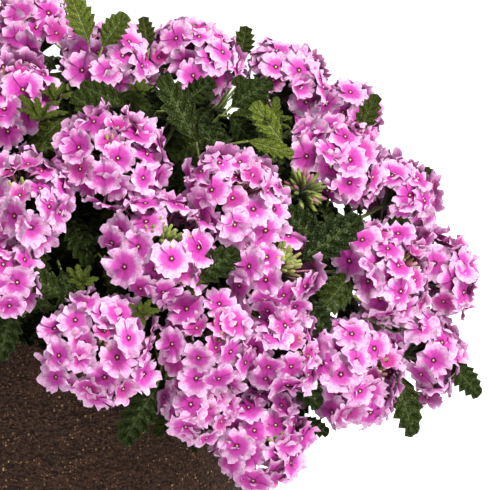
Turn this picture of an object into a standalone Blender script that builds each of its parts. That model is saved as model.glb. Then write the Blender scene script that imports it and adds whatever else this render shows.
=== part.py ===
"""Verbena in a round planter: planter, soil, leafy shoots and flower heads, at real size in metres.

The origin is the centre of the planter's underside, and +Z is up. The shoots stand in holes in the soil,
arch outwards over the rim and carry the flower heads on their tips, all round a low dome.
"""

import math
import random

import bmesh
import bpy
from mathutils import Vector
from mathutils.bvhtree import BVHTree

MM = 0.001

# Planter
POT_HEIGHT = 150 * MM
POT_RIM_RADIUS = 98 * MM
POT_FOOT_RADIUS = 92 * MM
POT_WALL = 6 * MM
POT_FLOOR = 7 * MM
POT_EDGE_ROUND = 1.6 * MM
POT_SIDES = 32

# Soil
SOIL_BELOW_RIM = 9 * MM
SOIL_CROWN = 4 * MM
GAP = 0.35 * MM
HOLE_DEPTH = 14 * MM

# Dome that the centres of the flower heads lie on, measured from the middle of the rim
DOME_ACROSS = 188 * MM
DOME_DEEP = 168 * MM
DOME_UP = 140 * MM
DOME_LOWEST = -46 * MM

# The side of the plant that faces the viewer is looked at from a little above the horizon
VIEW_TILT = math.radians(8)

# Heads on that side: millimetres to the right of the planter's axis, millimetres above the rim's front
# edge as they appear in that view, radius of the head
SEEN_HEADS = (
    (-17, 147, 27),
    (23, 133, 24),
    (-27, 112, 26),
    (67, 133, 27),
    (115, 124, 26),
    (27, 80, 29),
    (-17, 60, 27),
    (-30, 24, 23),
    (50, 39, 28),
    (88, 60, 28),
    (140, 81, 27),
    (147, 111, 17),
    (173, 66, 23),
    (107, 26, 25),
    (20, -10, 29),
    (74, -9, 24),
    (109, -10, 24),
    (70, -38, 18),
    (98, -55, 28),
    (147, -25, 29),
    (162, 25, 28),
    (194, 24, 25),
    (186, -16, 26),
)
# Heads of that list whose middle still holds a tuft of green buds
TUFTED_HEADS = (9, 14)
# Heads that are all buds still, listed in the same way
SEEN_BUD_HEADS = ((125, 68, 12),)

# Leaves on that side that stand clear of the heads: root and tip, across and up, in millimetres
SEEN_LEAVES = (
    ((51, -30), (31, -56)),
    ((168, -29), (178, -55)),
    ((200, -24), (213, -36)),
    ((14, 142), (8, 162)),
    ((22, 141), (34, 150)),
    ((-24, 5), (-25, -33)),
    ((0, 17), (-12, 28)),
    ((118, 24), (150, 40)),
    ((70, 98), (52, 120)),
    ((74, 88), (96, 78)),
    ((112, 90), (98, 110)),
)

# How near the dome's surface such a leaf lies, and its share of the full width, in the order tried
SEEN_LEAF_TRIES = ((0.97, 0.75), (0.9, 0.75), (1.06, 0.75), (0.84, 0.65), (0.97, 0.5), (0.9, 0.5), (0.8, 0.5))

# The other heads are picked from many candidate places, over what the seen side leaves: farther left than
# its edge, or turned away from the viewer by more than its facing, the cosine between axis and view
TOTAL_HEADS = 44
REST_HEAD_RADIUS = 28 * MM
CANDIDATE_HEADS = 700
SEEN_SIDE_EDGE = -62 * MM
SEEN_SIDE_FACING = -0.22
HIGHEST_HEAD = 0.985

# Flower head
HEAD_FLORETS = 10
REST_HEAD_FLORETS = 9
HEAD_DEPTH = 0.78
HEAD_SPREAD = math.radians(104)
FLORET_RADIUS = 14 * MM
VALLEY_SHARE = 0.66
THROAT_SHARE = 0.86
SINUS_SHARE = 0.58
CELL_SHARE = 0.93
HEAD_BASE_SHARE = 0.62
TURN_EACH = 1.3
BUDS_IN_TUFT = 9
TUFT_SHARE = 0.30
TUFT_LEVEL = 0.72
TUFT_SPREAD = math.radians(66)

# Shoots and leaves
SHOOTS = 8
SHOOT_RADIUS = 2.3 * MM
STALK_RADIUS = 1.5 * MM
LEAF_LENGTH = 44 * MM
LEAF_WIDTH = 24 * MM
LEAF_THICK = 1.3 * MM
LEAF_TEETH = 2
LEAVES_EACH = 12
LEAF_ROOT_SHARE = 0.86
LEAF_TRIES = 260

# Each shoot's dense inner foliage: a wedge of a smaller dome, which its leaves and stalks stand out of
CORE_SHARE = 0.74
CORE_LIFT = 5 * MM
CORE_FOOT = 112 * MM
CORE_INNER = 9 * MM
CORE_SLIT = 0.6 * MM
CORE_ROUGH = 0.05
SEED = 17


def remove_everything():
    """Clears the scene of whatever it held."""
    for held in list(bpy.data.objects):
        bpy.data.objects.remove(held)


def make_material(name, colour, roughness):
    """One Principled material for each finish."""
    material = bpy.data.materials.new(name)
    material.use_nodes = True
    shader = material.node_tree.nodes["Principled BSDF"]
    shader.inputs["Base Color"].default_value = (*colour, 1.0)
    shader.inputs["Roughness"].default_value = roughness
    shader.inputs["Metallic"].default_value = 0.0
    return material


def add_object(name, points, faces, material):
    """A mesh object from points and faces, linked to the scene."""
    mesh = bpy.data.meshes.new(name)
    mesh.from_pydata([tuple(p) for p in points], [], [tuple(f) for f in faces])
    mesh.materials.append(material)
    made = bpy.data.objects.new(name, mesh)
    bpy.context.scene.collection.objects.link(made)
    return made


def turned(profile, sides):
    """Points and faces of a profile of (radius, height) turned about Z; its two ends lie on the axis."""
    points = [(0.0, 0.0, profile[0][1])]
    for radius, height in profile[1:-1]:
        for side in range(sides):
            angle = 2 * math.pi * side / sides
            points.append((radius * math.cos(angle), radius * math.sin(angle), height))
    points.append((0.0, 0.0, profile[-1][1]))
    rings = len(profile) - 2
    faces = []
    for side in range(sides):
        after = (side + 1) % sides
        faces.append((0, 1 + after, 1 + side))
        for ring in range(rings - 1):
            low = 1 + ring * sides
            high = low + sides
            faces.append((low + side, low + after, high + after, high + side))
        last = 1 + (rings - 1) * sides
        faces.append((last + side, last + after, len(points) - 1))
    return points, faces


def pot_radius(height):
    """Outer radius of the planter's wall at a height above its underside."""
    return POT_FOOT_RADIUS + (POT_RIM_RADIUS - POT_FOOT_RADIUS) * height / POT_HEIGHT


def make_pot(material):
    """The planter: a nearly straight wall on a flat base, with a plain flat rim."""
    e = POT_EDGE_ROUND
    inner_rim = POT_RIM_RADIUS - POT_WALL
    inner_floor = pot_radius(POT_FLOOR) - POT_WALL
    profile = [
        (0.0, 0.0),
        (POT_FOOT_RADIUS - e, 0.0),
        (POT_FOOT_RADIUS, e),
        (POT_RIM_RADIUS, POT_HEIGHT - e),
        (POT_RIM_RADIUS - e, POT_HEIGHT),
        (inner_rim + e, POT_HEIGHT),
        (inner_rim, POT_HEIGHT - e),
        (inner_floor, POT_FLOOR),
        (0.0, POT_FLOOR),
    ]
    return add_object("pot", *turned(profile, POT_SIDES), material)


def make_soil(material, roots):
    """The soil fills the planter to just under its rim, with a plain hole for each shoot."""
    top = POT_HEIGHT - SOIL_BELOW_RIM
    low = POT_FLOOR + GAP
    profile = [
        (0.0, low),
        (pot_radius(low) - POT_WALL - 2 * GAP, low),
        (pot_radius(top) - POT_WALL - 2 * GAP, top),
        (POT_RIM_RADIUS * 0.5, top + SOIL_CROWN),
        (0.0, top + SOIL_CROWN),
    ]
    soil = add_object("soil", *turned(profile, POT_SIDES // 2), material)
    holes = bpy.data.collections.new("holes")
    bpy.context.scene.collection.children.link(holes)
    reach = HOLE_DEPTH + SOIL_CROWN
    for root in roots:
        ring = tube([root - Vector((0, 0, HOLE_DEPTH)), root + Vector((0, 0, reach))], SHOOT_RADIUS + 2 * GAP, 6)
        cutter = add_object("hole", *ring, material)
        bpy.context.scene.collection.objects.unlink(cutter)
        holes.objects.link(cutter)
    settle_boolean(soil, holes, "DIFFERENCE")
    return soil


def settle_boolean(target, pieces, operation):
    """Applies one Boolean of target with a collection of pieces, then removes the pieces."""
    modifier = target.modifiers.new("join", "BOOLEAN")
    modifier.operation = operation
    modifier.operand_type = "COLLECTION"
    modifier.collection = pieces
    modifier.solver = "MANIFOLD"
    bpy.context.view_layer.update()
    evaluated = target.evaluated_get(bpy.context.evaluated_depsgraph_get())
    result = bpy.data.meshes.new_from_object(evaluated)
    target.modifiers.clear()
    target.data = result
    for piece in list(pieces.objects):
        bpy.data.objects.remove(piece)
    bpy.data.collections.remove(pieces)


def tube(path, radius, sides):
    """Points and faces of a closed tube along a path; radius may be one number or one for each point."""
    path = [Vector(p) for p in path]
    radii = radius if isinstance(radius, list) else [radius] * len(path)
    points, faces = [], []
    first = (path[1] - path[0]).normalized()
    across = first.orthogonal().normalized()
    for i, place in enumerate(path):
        before = path[max(i - 1, 0)]
        after = path[min(i + 1, len(path) - 1)]
        along = (after - before).normalized()
        across = (across - along * across.dot(along)).normalized()
        up = along.cross(across)
        for side in range(sides):
            angle = 2 * math.pi * side / sides
            points.append(place + (across * math.cos(angle) + up * math.sin(angle)) * radii[i])
    for i in range(len(path) - 1):
        for side in range(sides):
            after = (side + 1) % sides
            low = i * sides
            faces.append((low + side, low + after, low + sides + after, low + sides + side))
    faces.append(tuple(reversed(range(sides))))
    faces.append(tuple(range((len(path) - 1) * sides, len(path) * sides)))
    return points, faces


def curve_points(start, control, end, steps):
    """Points of a quadratic curve that leaves start towards control and reaches end from it."""
    found = []
    for i in range(steps + 1):
        t = i / steps
        found.append(start * (1 - t) ** 2 + control * (2 * t * (1 - t)) + end * t * t)
    return found


def dome_point(across, up):
    """The point of the dome's near side that appears at (across, up) in the view from VIEW_TILT above.

    The view shows a point at height z * cos(tilt) + y * sin(tilt), so the depth y solves a quadratic.
    """
    c, s = math.cos(VIEW_TILT), math.sin(VIEW_TILT)
    rim_front = -POT_RIM_RADIUS * s
    seen = up + rim_front
    a = 1 / DOME_DEEP**2 + (s / (c * DOME_UP)) ** 2
    b = -2 * seen * s / (c * DOME_UP) ** 2
    k = (across / DOME_ACROSS) ** 2 + (seen / (c * DOME_UP)) ** 2 - 1
    inside = max(b * b - 4 * a * k, 0.0)
    y = (-b - math.sqrt(inside)) / (2 * a)
    return Vector((across, y, (seen - y * s) / c))


def outward(place):
    """The way a head faces: away from a point under the middle of the dome."""
    return (place - Vector((0, 0, -0.45 * DOME_UP))).normalized()


def rest_of_heads(taken):
    """Head centres for the sides that face away, each as far as can be from those already placed."""
    view = Vector((0, -math.cos(VIEW_TILT), math.sin(VIEW_TILT)))
    candidates = []
    golden = math.pi * (3 - math.sqrt(5))
    lowest = DOME_LOWEST / DOME_UP
    for i in range(CANDIDATE_HEADS):
        up = lowest + (HIGHEST_HEAD - lowest) * (i + 0.5) / CANDIDATE_HEADS
        ring = math.sqrt(1 - up * up)
        turn = golden * i
        direction = Vector((ring * math.cos(turn), ring * math.sin(turn), up))
        place = Vector((direction.x * DOME_ACROSS, direction.y * DOME_DEEP, direction.z * DOME_UP))
        faces_view = outward(place).dot(view) > SEEN_SIDE_FACING
        if not (faces_view and place.x > SEEN_SIDE_EDGE):
            candidates.append(place)
    found = list(taken)
    while len(found) < TOTAL_HEADS:
        best = max(candidates, key=lambda p: min((p - q).length for q in found))
        found.append(best)
        candidates.remove(best)
    return found[len(taken):]


def lay_out_heads():
    """Every flower head as (centre, axis, radius, has a tuft of buds), in the planter's frame."""
    lift = Vector((0, 0, POT_HEIGHT))
    seen = [dome_point(x * MM, z * MM) for x, z, _ in SEEN_HEADS]
    radii = [r * MM for _, _, r in SEEN_HEADS]
    rest = rest_of_heads(seen)
    rng = random.Random(SEED)
    heads = []
    for i, place in enumerate(seen + rest):
        radius = radii[i] if i < len(radii) else REST_HEAD_RADIUS * rng.uniform(0.88, 1.06)
        axis = outward(place)
        heads.append((place + lift, axis, radius, i + 1 in TUFTED_HEADS))
    return heads


def cells_of(sites):
    """For each site on the unit sphere, the ring of corner directions of its cell, in order."""
    hull = bmesh.new()
    verts = [hull.verts.new(s) for s in sites]
    bmesh.ops.convex_hull(hull, input=verts)
    bmesh.ops.triangulate(hull, faces=list(hull.faces))
    hull.normal_update()
    hull.verts.index_update()
    hull.faces.index_update()
    centre_of_face = {}
    for face in hull.faces:
        normal = face.normal.copy()
        if normal.dot(face.calc_center_median()) < 0:
            normal.negate()
        centre_of_face[face.index] = normal
    rings = []
    for vert, site in zip(verts, sites):
        first = site.orthogonal().normalized()
        second = site.cross(first)
        corners = sorted(
            (f.index for f in vert.link_faces),
            key=lambda i: math.atan2(centre_of_face[i].dot(second), centre_of_face[i].dot(first)),
        )
        rings.append(corners)
    directions = [centre_of_face[i] for i in range(len(hull.faces))]
    hull.free()
    return rings, directions


def frame_round(axis):
    """Two unit vectors that, with axis, make a right-handed frame."""
    first = axis.orthogonal().normalized()
    return first, axis.cross(first)


def head_sites(axis, count, turn, spread):
    """Directions on a spiral from an axis out to an angle of spread, and one that points the other way."""
    first, second = frame_round(axis)
    golden = math.pi * (3 - math.sqrt(5))
    sites = []
    for i in range(count):
        height = 1 - (1 - math.cos(spread)) * (i + 0.35) / count
        ring = math.sqrt(max(0.0, 1 - height * height))
        angle = turn + golden * i
        sites.append((axis * height + (first * math.cos(angle) + second * math.sin(angle)) * ring).normalized())
    sites.append(-axis)
    return sites


def reach_of_cell(site, tangent, sites):
    """The angle from a site, along a tangent, at which another site becomes nearer."""
    widest = math.radians(60)
    for other in sites:
        towards = other.dot(tangent)
        if towards > 1e-6:
            widest = min(widest, math.atan((1 - other.dot(site)) / towards))
    return widest


def bridge(faces, low_ring, low_angles, high_ring, high_angles):
    """Triangles between two rings of points about one axis, walking both by angle."""
    low = sorted(zip(low_angles, low_ring))
    high = sorted(zip(high_angles, high_ring))
    i = j = 0
    while i < len(low) or j < len(high):
        next_low = low[(i + 1) % len(low)][0] + (2 * math.pi if i + 1 >= len(low) else 0)
        next_high = high[(j + 1) % len(high)][0] + (2 * math.pi if j + 1 >= len(high) else 0)
        a, b = low[i % len(low)][1], high[j % len(high)][1]
        if j >= len(high) or (i < len(low) and next_low <= next_high):
            faces.append((a, low[(i + 1) % len(low)][1], b))
            i += 1
        else:
            faces.append((a, high[(j + 1) % len(high)][1], b))
            j += 1


def angle_round(direction, first, second, start):
    """The angle of a direction about the frame's axis, from start up to a full turn more."""
    return (math.atan2(direction.dot(second), direction.dot(first)) - start) % (2 * math.pi)


def head_shape(centre, axis, radius, florets, tufted, turn, walls):
    """One flower head as a closed surface: a five-lobed floret stands on each cell of a small dome.

    A point is kept on its own side of each wall, a plane half way to a neighbouring head.
    """
    sites = head_sites(axis, florets, turn, HEAD_SPREAD)
    rings, corner_directions = cells_of(sites)
    points = [d * (radius * VALLEY_SHARE) for d in corner_directions]
    faces = []
    for index, (site, ring) in enumerate(zip(sites, rings)):
        first, second = frame_round(site)
        if index == len(sites) - 1 or (index == 0 and tufted):
            share = HEAD_BASE_SHARE if index else VALLEY_SHARE * 0.9
            points.append(site * (radius * share))
            for a, b in zip(ring, ring[1:] + ring[:1]):
                faces.append((a, b, len(points) - 1))
            continue
        start = turn * 3 + index
        outline, outline_angles = [], []
        for step in range(10):
            angle = start + math.pi * step / 5
            tangent = first * math.cos(angle) + second * math.sin(angle)
            reach = min(reach_of_cell(site, tangent, sites) * CELL_SHARE, FLORET_RADIUS / radius)
            if step % 2:
                reach *= SINUS_SHARE
            level = radius * (1.0 if step % 2 == 0 else 0.97)
            points.append((site * math.cos(reach) + tangent * math.sin(reach)) * level)
            outline.append(len(points) - 1)
            outline_angles.append((angle - start) % (2 * math.pi))
        points.append(site * (radius * THROAT_SHARE))
        throat = len(points) - 1
        for a, b in zip(outline, outline[1:] + outline[:1]):
            faces.append((a, b, throat))
        ring_angles = [angle_round(corner_directions[c], first, second, start) for c in ring]
        bridge(faces, ring, ring_angles, outline, outline_angles)
    placed = []
    for p in points:
        p = p - axis * (p.dot(axis) * (1 - HEAD_DEPTH))
        share = 1.0
        for normal, room in walls:
            beyond = p.dot(normal)
            if beyond > room:
                share = min(share, room / beyond)
        placed.append(centre + p * share)
    return placed, faces


def tidy_solid(made):
    """Merges double points and turns every face outwards."""
    work = bmesh.new()
    work.from_mesh(made.data)
    bmesh.ops.remove_doubles(work, verts=list(work.verts), dist=1e-6)
    bmesh.ops.recalc_face_normals(work, faces=list(work.faces))
    work.to_mesh(made.data)
    work.free()


def walls_of(index, heads):
    """Planes half way to each near head, as (unit normal, distance), shared by the heads' radii."""
    centre, _, radius, _ = heads[index]
    found = []
    for other, (place, _, size, _) in enumerate(heads):
        between = place - centre
        if other == index or between.length > radius + size + 2 * MM:
            continue
        room = between.length * radius / (radius + size) - GAP
        found.append((between.normalized(), room))
    return found


def make_heads(heads, material):
    """Every flower head as a node of its own."""
    made = []
    for i, (centre, axis, radius, tufted) in enumerate(heads):
        florets = HEAD_FLORETS if i < len(SEEN_HEADS) else REST_HEAD_FLORETS
        shape = head_shape(centre, axis, radius, florets, tufted, i * TURN_EACH, walls_of(i, heads))
        head = add_object(f"flower_head_{i + 1:02d}", *shape, material)
        tidy_solid(head)
        made.append(head)
    return made


def bud_cluster(centre, axis, radius, count, spread):
    """A tuft of pointed buds as one closed surface: a cone stands on each cell of a small ball."""
    sites = head_sites(axis, count, 0.4, spread)
    rings, corner_directions = cells_of(sites)
    points = [centre + d * (radius * 0.45) for d in corner_directions]
    faces = []
    for index, (site, ring) in enumerate(zip(sites, rings)):
        share = 1.0 if index < count else 0.3
        points.append(centre + site * (radius * share))
        for a, b in zip(ring, ring[1:] + ring[:1]):
            faces.append((a, b, len(points) - 1))
    return points, faces


def make_tufts(heads, material):
    """The green buds in the middle of each head that still has them, as nodes of their own."""
    made = []
    for i, (centre, axis, radius, tufted) in enumerate(heads):
        if tufted:
            size = radius * TUFT_SHARE
            way = head_sites(axis, HEAD_FLORETS, i * TURN_EACH, HEAD_SPREAD)[0]
            place = way * (radius * TUFT_LEVEL)
            place = centre + place - axis * (place.dot(axis) * (1 - HEAD_DEPTH))
            shape = bud_cluster(place, way, size, BUDS_IN_TUFT, TUFT_SPREAD)
            tuft = add_object(f"bud_tuft_{i + 1:02d}", *shape, material)
            tidy_solid(tuft)
            made.append(tuft)
    return made


def leaf_shape(root, tip, normal, width, droop):
    """A toothed blade from root to tip, as one closed lens: a raised rib above and below a sharp edge.

    Its two faces share one outline and are split into triangles alike.
    """
    along = tip - root
    length = along.length
    along.normalize()
    normal = (normal - along * normal.dot(along)).normalized()
    side = normal.cross(along)
    ribs = (0.0, 0.5)
    edges = [(0.0, 0.09)]
    for tooth in range(LEAF_TEETH):
        middle = 0.26 + 0.62 * tooth / LEAF_TEETH
        bulge = math.sin(math.pi * min(1.0, middle + 0.12)) ** 0.7
        edges.append((middle, bulge))
        edges.append((middle + 0.10, bulge * 0.72))

    def place(share, out, lift):
        bend = -droop * length * share * share
        return root + along * (share * length) + side * (out * width / 2) + normal * (lift + bend)

    points = []
    above = []
    below = []
    for share in ribs:
        thick = LEAF_THICK / 2
        points.append(place(share, 0.0, thick - 0.06 * width * share))
        above.append(len(points) - 1)
        points.append(place(share, 0.0, -thick - 0.06 * width * share))
        below.append(len(points) - 1)
    points.append(place(1.0, 0.0, 0.0))
    tip_index = len(points) - 1
    above.append(tip_index)
    below.append(tip_index)
    faces = []
    for hand in (1, -1):
        outline = []
        for share, out in edges:
            points.append(place(share, out * hand, 0.10 * width * out))
            outline.append(len(points) - 1)
        outline.append(tip_index)
        rib_shares = list(ribs) + [1.0]
        edge_shares = [e[0] for e in edges] + [1.0]
        for spine, flip in ((above, hand > 0), (below, hand < 0)):
            i = j = 0
            while i < len(spine) - 1 or j < len(outline) - 1:
                step_rib = j >= len(outline) - 1 or (
                    i < len(spine) - 1 and rib_shares[i + 1] <= edge_shares[j + 1]
                )
                if step_rib:
                    face = (spine[i], spine[i + 1], outline[j])
                    i += 1
                else:
                    face = (spine[i], outline[j + 1], outline[j])
                    j += 1
                if len(set(face)) == 3:
                    faces.append(face if flip else face[::-1])
        faces.append((above[0], below[0], outline[0]) if hand > 0 else (below[0], above[0], outline[0]))
    return points, faces


def core_shape(azimuth, rng):
    """One shoot's wedge of the inner foliage, as a closed shape: its outer face is a rough dome."""
    half = math.pi / SHOOTS
    outline = [(CORE_INNER, CORE_LIFT), (CORE_FOOT, CORE_LIFT)]
    for height in (0.22, 0.5, 0.76, 0.94):
        outline.append((None, height))
    outline.append((CORE_INNER, DOME_UP * CORE_SHARE))
    points = []
    columns = (-half, -half / 3, half / 3, half)
    for column, offset in enumerate(columns):
        turn = azimuth + offset
        out = Vector((math.cos(turn), math.sin(turn), 0))
        reach = 1 / math.hypot(out.x / DOME_ACROSS, out.y / DOME_DEEP) * CORE_SHARE
        inward = Vector((-out.y, out.x, 0)) * (CORE_SLIT * (1 if column == 0 else -1 if column == 3 else 0))
        for radius, height in outline:
            if radius is None:
                radius = reach * math.sqrt(1 - height * height) * rng.uniform(1 - CORE_ROUGH, 1 + CORE_ROUGH)
                height = height * DOME_UP * CORE_SHARE
            points.append(out * radius + inward + Vector((0, 0, POT_HEIGHT + height)))
    count = len(outline)
    faces = [tuple(range(count)), tuple(reversed(range(3 * count, 4 * count)))]
    for column in range(3):
        for i in range(count):
            after = (i + 1) % count
            low, high = column * count, (column + 1) * count
            faces.append((low + i, high + i, high + after))
            faces.append((low + i, high + after, low + after))
    return points, faces


def tree_of(points, faces):
    """A search tree of a shape, for tests of what touches what."""
    return BVHTree.FromPolygons([Vector(p) for p in points], [tuple(f) for f in faces])


def tree_of_object(made):
    """A search tree of an object whose place is in its mesh."""
    return tree_of([v.co for v in made.data.vertices], [p.vertices for p in made.data.polygons])


def shoot_path(azimuth):
    """The middle line of one shoot: out of the soil, up and over the rim."""
    out = Vector((math.cos(azimuth), math.sin(azimuth), 0))
    up = Vector((0, 0, 1))
    soil = POT_HEIGHT - SOIL_BELOW_RIM
    root = out * (34 * MM) + up * (soil - HOLE_DEPTH + 2 * MM)
    collar = out * (34 * MM) + up * (soil + SOIL_CROWN + 3 * MM)
    bend = out * (44 * MM) + up * (POT_HEIGHT + 78 * MM)
    end = out * (122 * MM) + up * (POT_HEIGHT + 18 * MM)
    return [root, collar] + curve_points(collar, bend, end, 5)[1:]


def stalk_paths(main, centre, axis, radius):
    """Ways a flower stalk may take from its shoot to just under its head, the most natural first."""
    end = centre - axis * (radius * HEAD_BASE_SHARE * HEAD_DEPTH + 2 * GAP)
    rise = 1 if end.z > main[-1].z else -1
    starts = sorted(
        range(2, len(main) - 1),
        key=lambda i: (main[i] - end).length + (20 * MM) * i * rise,
    )
    across, upward = frame_round(axis)
    found = []
    for sway in (0.0, 12 * MM, 24 * MM):
        for turn in range(1 if sway == 0.0 else 6):
            aside = (across * math.cos(turn * math.pi / 3) + upward * math.sin(turn * math.pi / 3)) * sway
            for bow in (0.55, 0.3, 0.75):
                for first in starts[:4]:
                    start = main[first]
                    control = end + aside - axis * (bow * (end - start).length)
                    found.append(curve_points(start, control, end, 3))
    return found


class Foliage:
    """What grows from the shoots, and the tests that keep one node clear of another."""

    def __init__(self, heads, obstacles, material):
        self.heads = heads
        self.obstacles = obstacles
        self.material = material
        self.trees = []
        self.pieces = []
        self.rng = random.Random(SEED)

    def clear_of_all(self, shape, shoot):
        """True if a shape touches no head, pot, soil or any other shoot's piece."""
        tree = tree_of(*shape)
        if any(tree.overlap(other) for other in self.obstacles):
            return False
        return not any(tree.overlap(other) for owner, other in self.trees if owner != shoot)

    def keep(self, name, shape, shoot):
        """Adds a shape to its shoot."""
        self.trees.append((shoot, tree_of(*shape)))
        self.pieces.append((shoot, name, shape))


def grow_leaf(foliage, shoot, root, tip, normal, width, droop, twig=None):
    """Adds one leaf to a shoot if it is clear of the other nodes and of that shoot's other leaves."""
    shape = leaf_shape(root, tip, normal, width, droop)
    reach = (tip - root) * 0.03
    guard = leaf_shape(root, tip + reach, normal, width * 1.1, droop)
    lift = normal * (LEAF_THICK * 0.9)
    above = [p + lift for p in guard[0]]
    below = [p - lift for p in guard[0]]
    for points in (guard[0], above, below):
        if not foliage.clear_of_all((points, guard[1]), shoot):
            return False
    tree = tree_of(*guard)
    for owner, name, other in foliage.pieces:
        if owner == shoot and name == "leaf" and tree.overlap(tree_of(*other)):
            return False
    if twig is not None:
        if not foliage.clear_of_all(twig, shoot):
            return False
        foliage.keep("twig", twig, shoot)
    foliage.keep("leaf", shape, shoot)
    return True


def grow_shoot(foliage, shoot, azimuth, heads):
    """Lays out one shoot: its stem, a stalk to each of its heads, and its leaves in pairs."""
    main = shoot_path(azimuth)
    core = core_shape(azimuth, foliage.rng)
    radii = [SHOOT_RADIUS] * 3 + [SHOOT_RADIUS * (1 - 0.06 * i) for i in range(len(main) - 3)]
    foliage.keep("stem", tube(main, radii, 4), shoot)
    foliage.keep("core", core, shoot)
    lines = [main[3:]]
    for centre, axis, radius in heads:
        for path in stalk_paths(main, centre, axis, radius):
            guard = path[:-1] + [path[-1] - axis * GAP]
            if foliage.clear_of_all(tube(guard, STALK_RADIUS * 1.3, 3), shoot):
                break
        foliage.keep("stalk", tube(path, STALK_RADIUS, 3), shoot)
        lines.append(path[1:])
    return lines


def grow_leaves(foliage, shoot, azimuth):
    """Leaves over a shoot's wedge of inner foliage, reaching out between the heads."""
    rng = foliage.rng
    half = math.pi / SHOOTS
    grown = 0
    for _ in range(LEAF_TRIES):
        if grown >= LEAVES_EACH:
            break
        turn = azimuth + rng.uniform(-0.85, 0.85) * half
        height = rng.uniform(0.08, 0.97)
        ring = math.sqrt(1 - height * height)
        inner = Vector((math.cos(turn) * ring * DOME_ACROSS, math.sin(turn) * ring * DOME_DEEP, height * DOME_UP))
        root = inner * (CORE_SHARE * LEAF_ROOT_SHARE) + Vector((0, 0, POT_HEIGHT))
        out = outward(inner)
        first, second = frame_round(out)
        spin = rng.uniform(0, 2 * math.pi)
        sideways = first * math.cos(spin) + second * math.sin(spin)
        way = (out * rng.uniform(0.5, 1.0) + sideways * 0.6 - Vector((0, 0, 0.25))).normalized()
        length = LEAF_LENGTH * rng.uniform(0.85, 1.15)
        width = LEAF_WIDTH * rng.uniform(0.85, 1.1)
        normal = (out + Vector((0, 0, 0.6))).normalized()
        if grow_leaf(foliage, shoot, root, root + way * length, normal, width, rng.uniform(0.05, 0.2)):
            grown += 1


def nearest_on(lines, place):
    """The (shoot, point) of every shoot's lines that is nearest to a place."""
    return min(
        ((shoot, point) for shoot, group in lines.items() for line in group for point in line[:-1]),
        key=lambda found: (found[1] - place).length,
    )


def make_foliage(heads, obstacles, material):
    """All the shoots: each is one body, of its stem, stalks, bud heads and leaves."""
    foliage = Foliage(heads, obstacles, material)
    lift = Vector((0, 0, POT_HEIGHT))
    share = {k: [] for k in range(SHOOTS)}
    azimuths = [2 * math.pi * (k + 0.5) / SHOOTS for k in range(SHOOTS)]
    for centre, axis, radius, _ in heads:
        turn = math.atan2(centre.y, centre.x)
        nearest = min(range(SHOOTS), key=lambda k: abs(math.remainder(turn - azimuths[k], 2 * math.pi)))
        share[nearest].append((centre, axis, radius))
    buds = []
    for x, z, r in SEEN_BUD_HEADS:
        place = dome_point(x * MM, z * MM) * 0.97 + lift
        turn = math.atan2(place.y, place.x)
        nearest = min(range(SHOOTS), key=lambda k: abs(math.remainder(turn - azimuths[k], 2 * math.pi)))
        buds.append((nearest, place, outward(place - lift), r * MM))
    lines = {}
    for shoot in range(SHOOTS):
        lines[shoot] = grow_shoot(foliage, shoot, azimuths[shoot], share[shoot])
    for shoot, place, axis, radius in buds:
        foliage.keep("buds", bud_cluster(place, axis, radius, BUDS_IN_TUFT, HEAD_SPREAD), shoot)
        main = lines[shoot][0]
        start = min(main, key=lambda p: (p - place).length)
        path = curve_points(start, place - axis * (0.6 * (place - start).length), place, 3)
        foliage.keep("stalk", tube(path, STALK_RADIUS, 3), shoot)
    for (rx, rz), (tx, tz) in SEEN_LEAVES:
        near_root, near_tip = dome_point(rx * MM, rz * MM), dome_point(tx * MM, tz * MM)
        for depth, share in SEEN_LEAF_TRIES:
            root = near_root * (depth - 0.06) + lift
            tip = near_tip * depth + lift
            shoot, start = nearest_on(lines, root)
            end = root + (tip - root) * 0.06
            twig = tube([start, start.lerp(end, 0.5), end], STALK_RADIUS * 0.8, 3)
            if grow_leaf(foliage, shoot, root, tip, outward(near_root), LEAF_WIDTH * share, 0.05, twig):
                break
    for shoot in range(SHOOTS):
        grow_leaves(foliage, shoot, azimuths[shoot])
    for shoot in range(SHOOTS):
        join_shoot(foliage, shoot, material)


def join_shoot(foliage, shoot, material):
    """Fuses one shoot's pieces into its node."""
    shapes = [(name, shape) for owner, name, shape in foliage.pieces if owner == shoot]
    stem = add_object(f"leafy_shoot_{shoot + 1:02d}", *shapes[0][1], material)
    tidy_solid(stem)
    group = bpy.data.collections.new("grown")
    bpy.context.scene.collection.children.link(group)
    for name, shape in shapes[1:]:
        piece = add_object(name, *shape, material)
        tidy_solid(piece)
        bpy.context.scene.collection.objects.unlink(piece)
        group.objects.link(piece)
    settle_boolean(stem, group, "UNION")


def shoot_roots():
    """Where each shoot enters the soil, at the height of the bottom of its hole."""
    found = []
    for k in range(SHOOTS):
        azimuth = 2 * math.pi * (k + 0.5) / SHOOTS
        root = shoot_path(azimuth)[0].copy()
        root.z = POT_HEIGHT - SOIL_BELOW_RIM
        found.append(root)
    return found


def main():
    """Builds the planter, the soil, the heads, and last the shoots, which keep clear of them all."""
    remove_everything()
    pot_finish = make_material("pot_brown_stoneware", (0.052, 0.028, 0.019), 0.75)
    soil_finish = make_material("soil_dark_peat", (0.022, 0.014, 0.010), 0.95)
    leaf_finish = make_material("leaf_green", (0.035, 0.085, 0.022), 0.6)
    petal_finish = make_material("petal_pink", (0.80, 0.28, 0.62), 0.55)
    bud_finish = make_material("bud_green", (0.16, 0.24, 0.04), 0.6)
    pot = make_pot(pot_finish)
    soil = make_soil(soil_finish, shoot_roots())
    layout = lay_out_heads()
    heads = make_heads(layout, petal_finish)
    tufts = make_tufts(layout, bud_finish)
    obstacles = [tree_of_object(made) for made in [pot, soil, *heads, *tufts]]
    make_foliage(layout, obstacles, leaf_finish)


main()
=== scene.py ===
"""A potted verbena dressed for a picture: petals, buds, leaves, stems, planter and soil round the solids."""

import math

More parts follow.
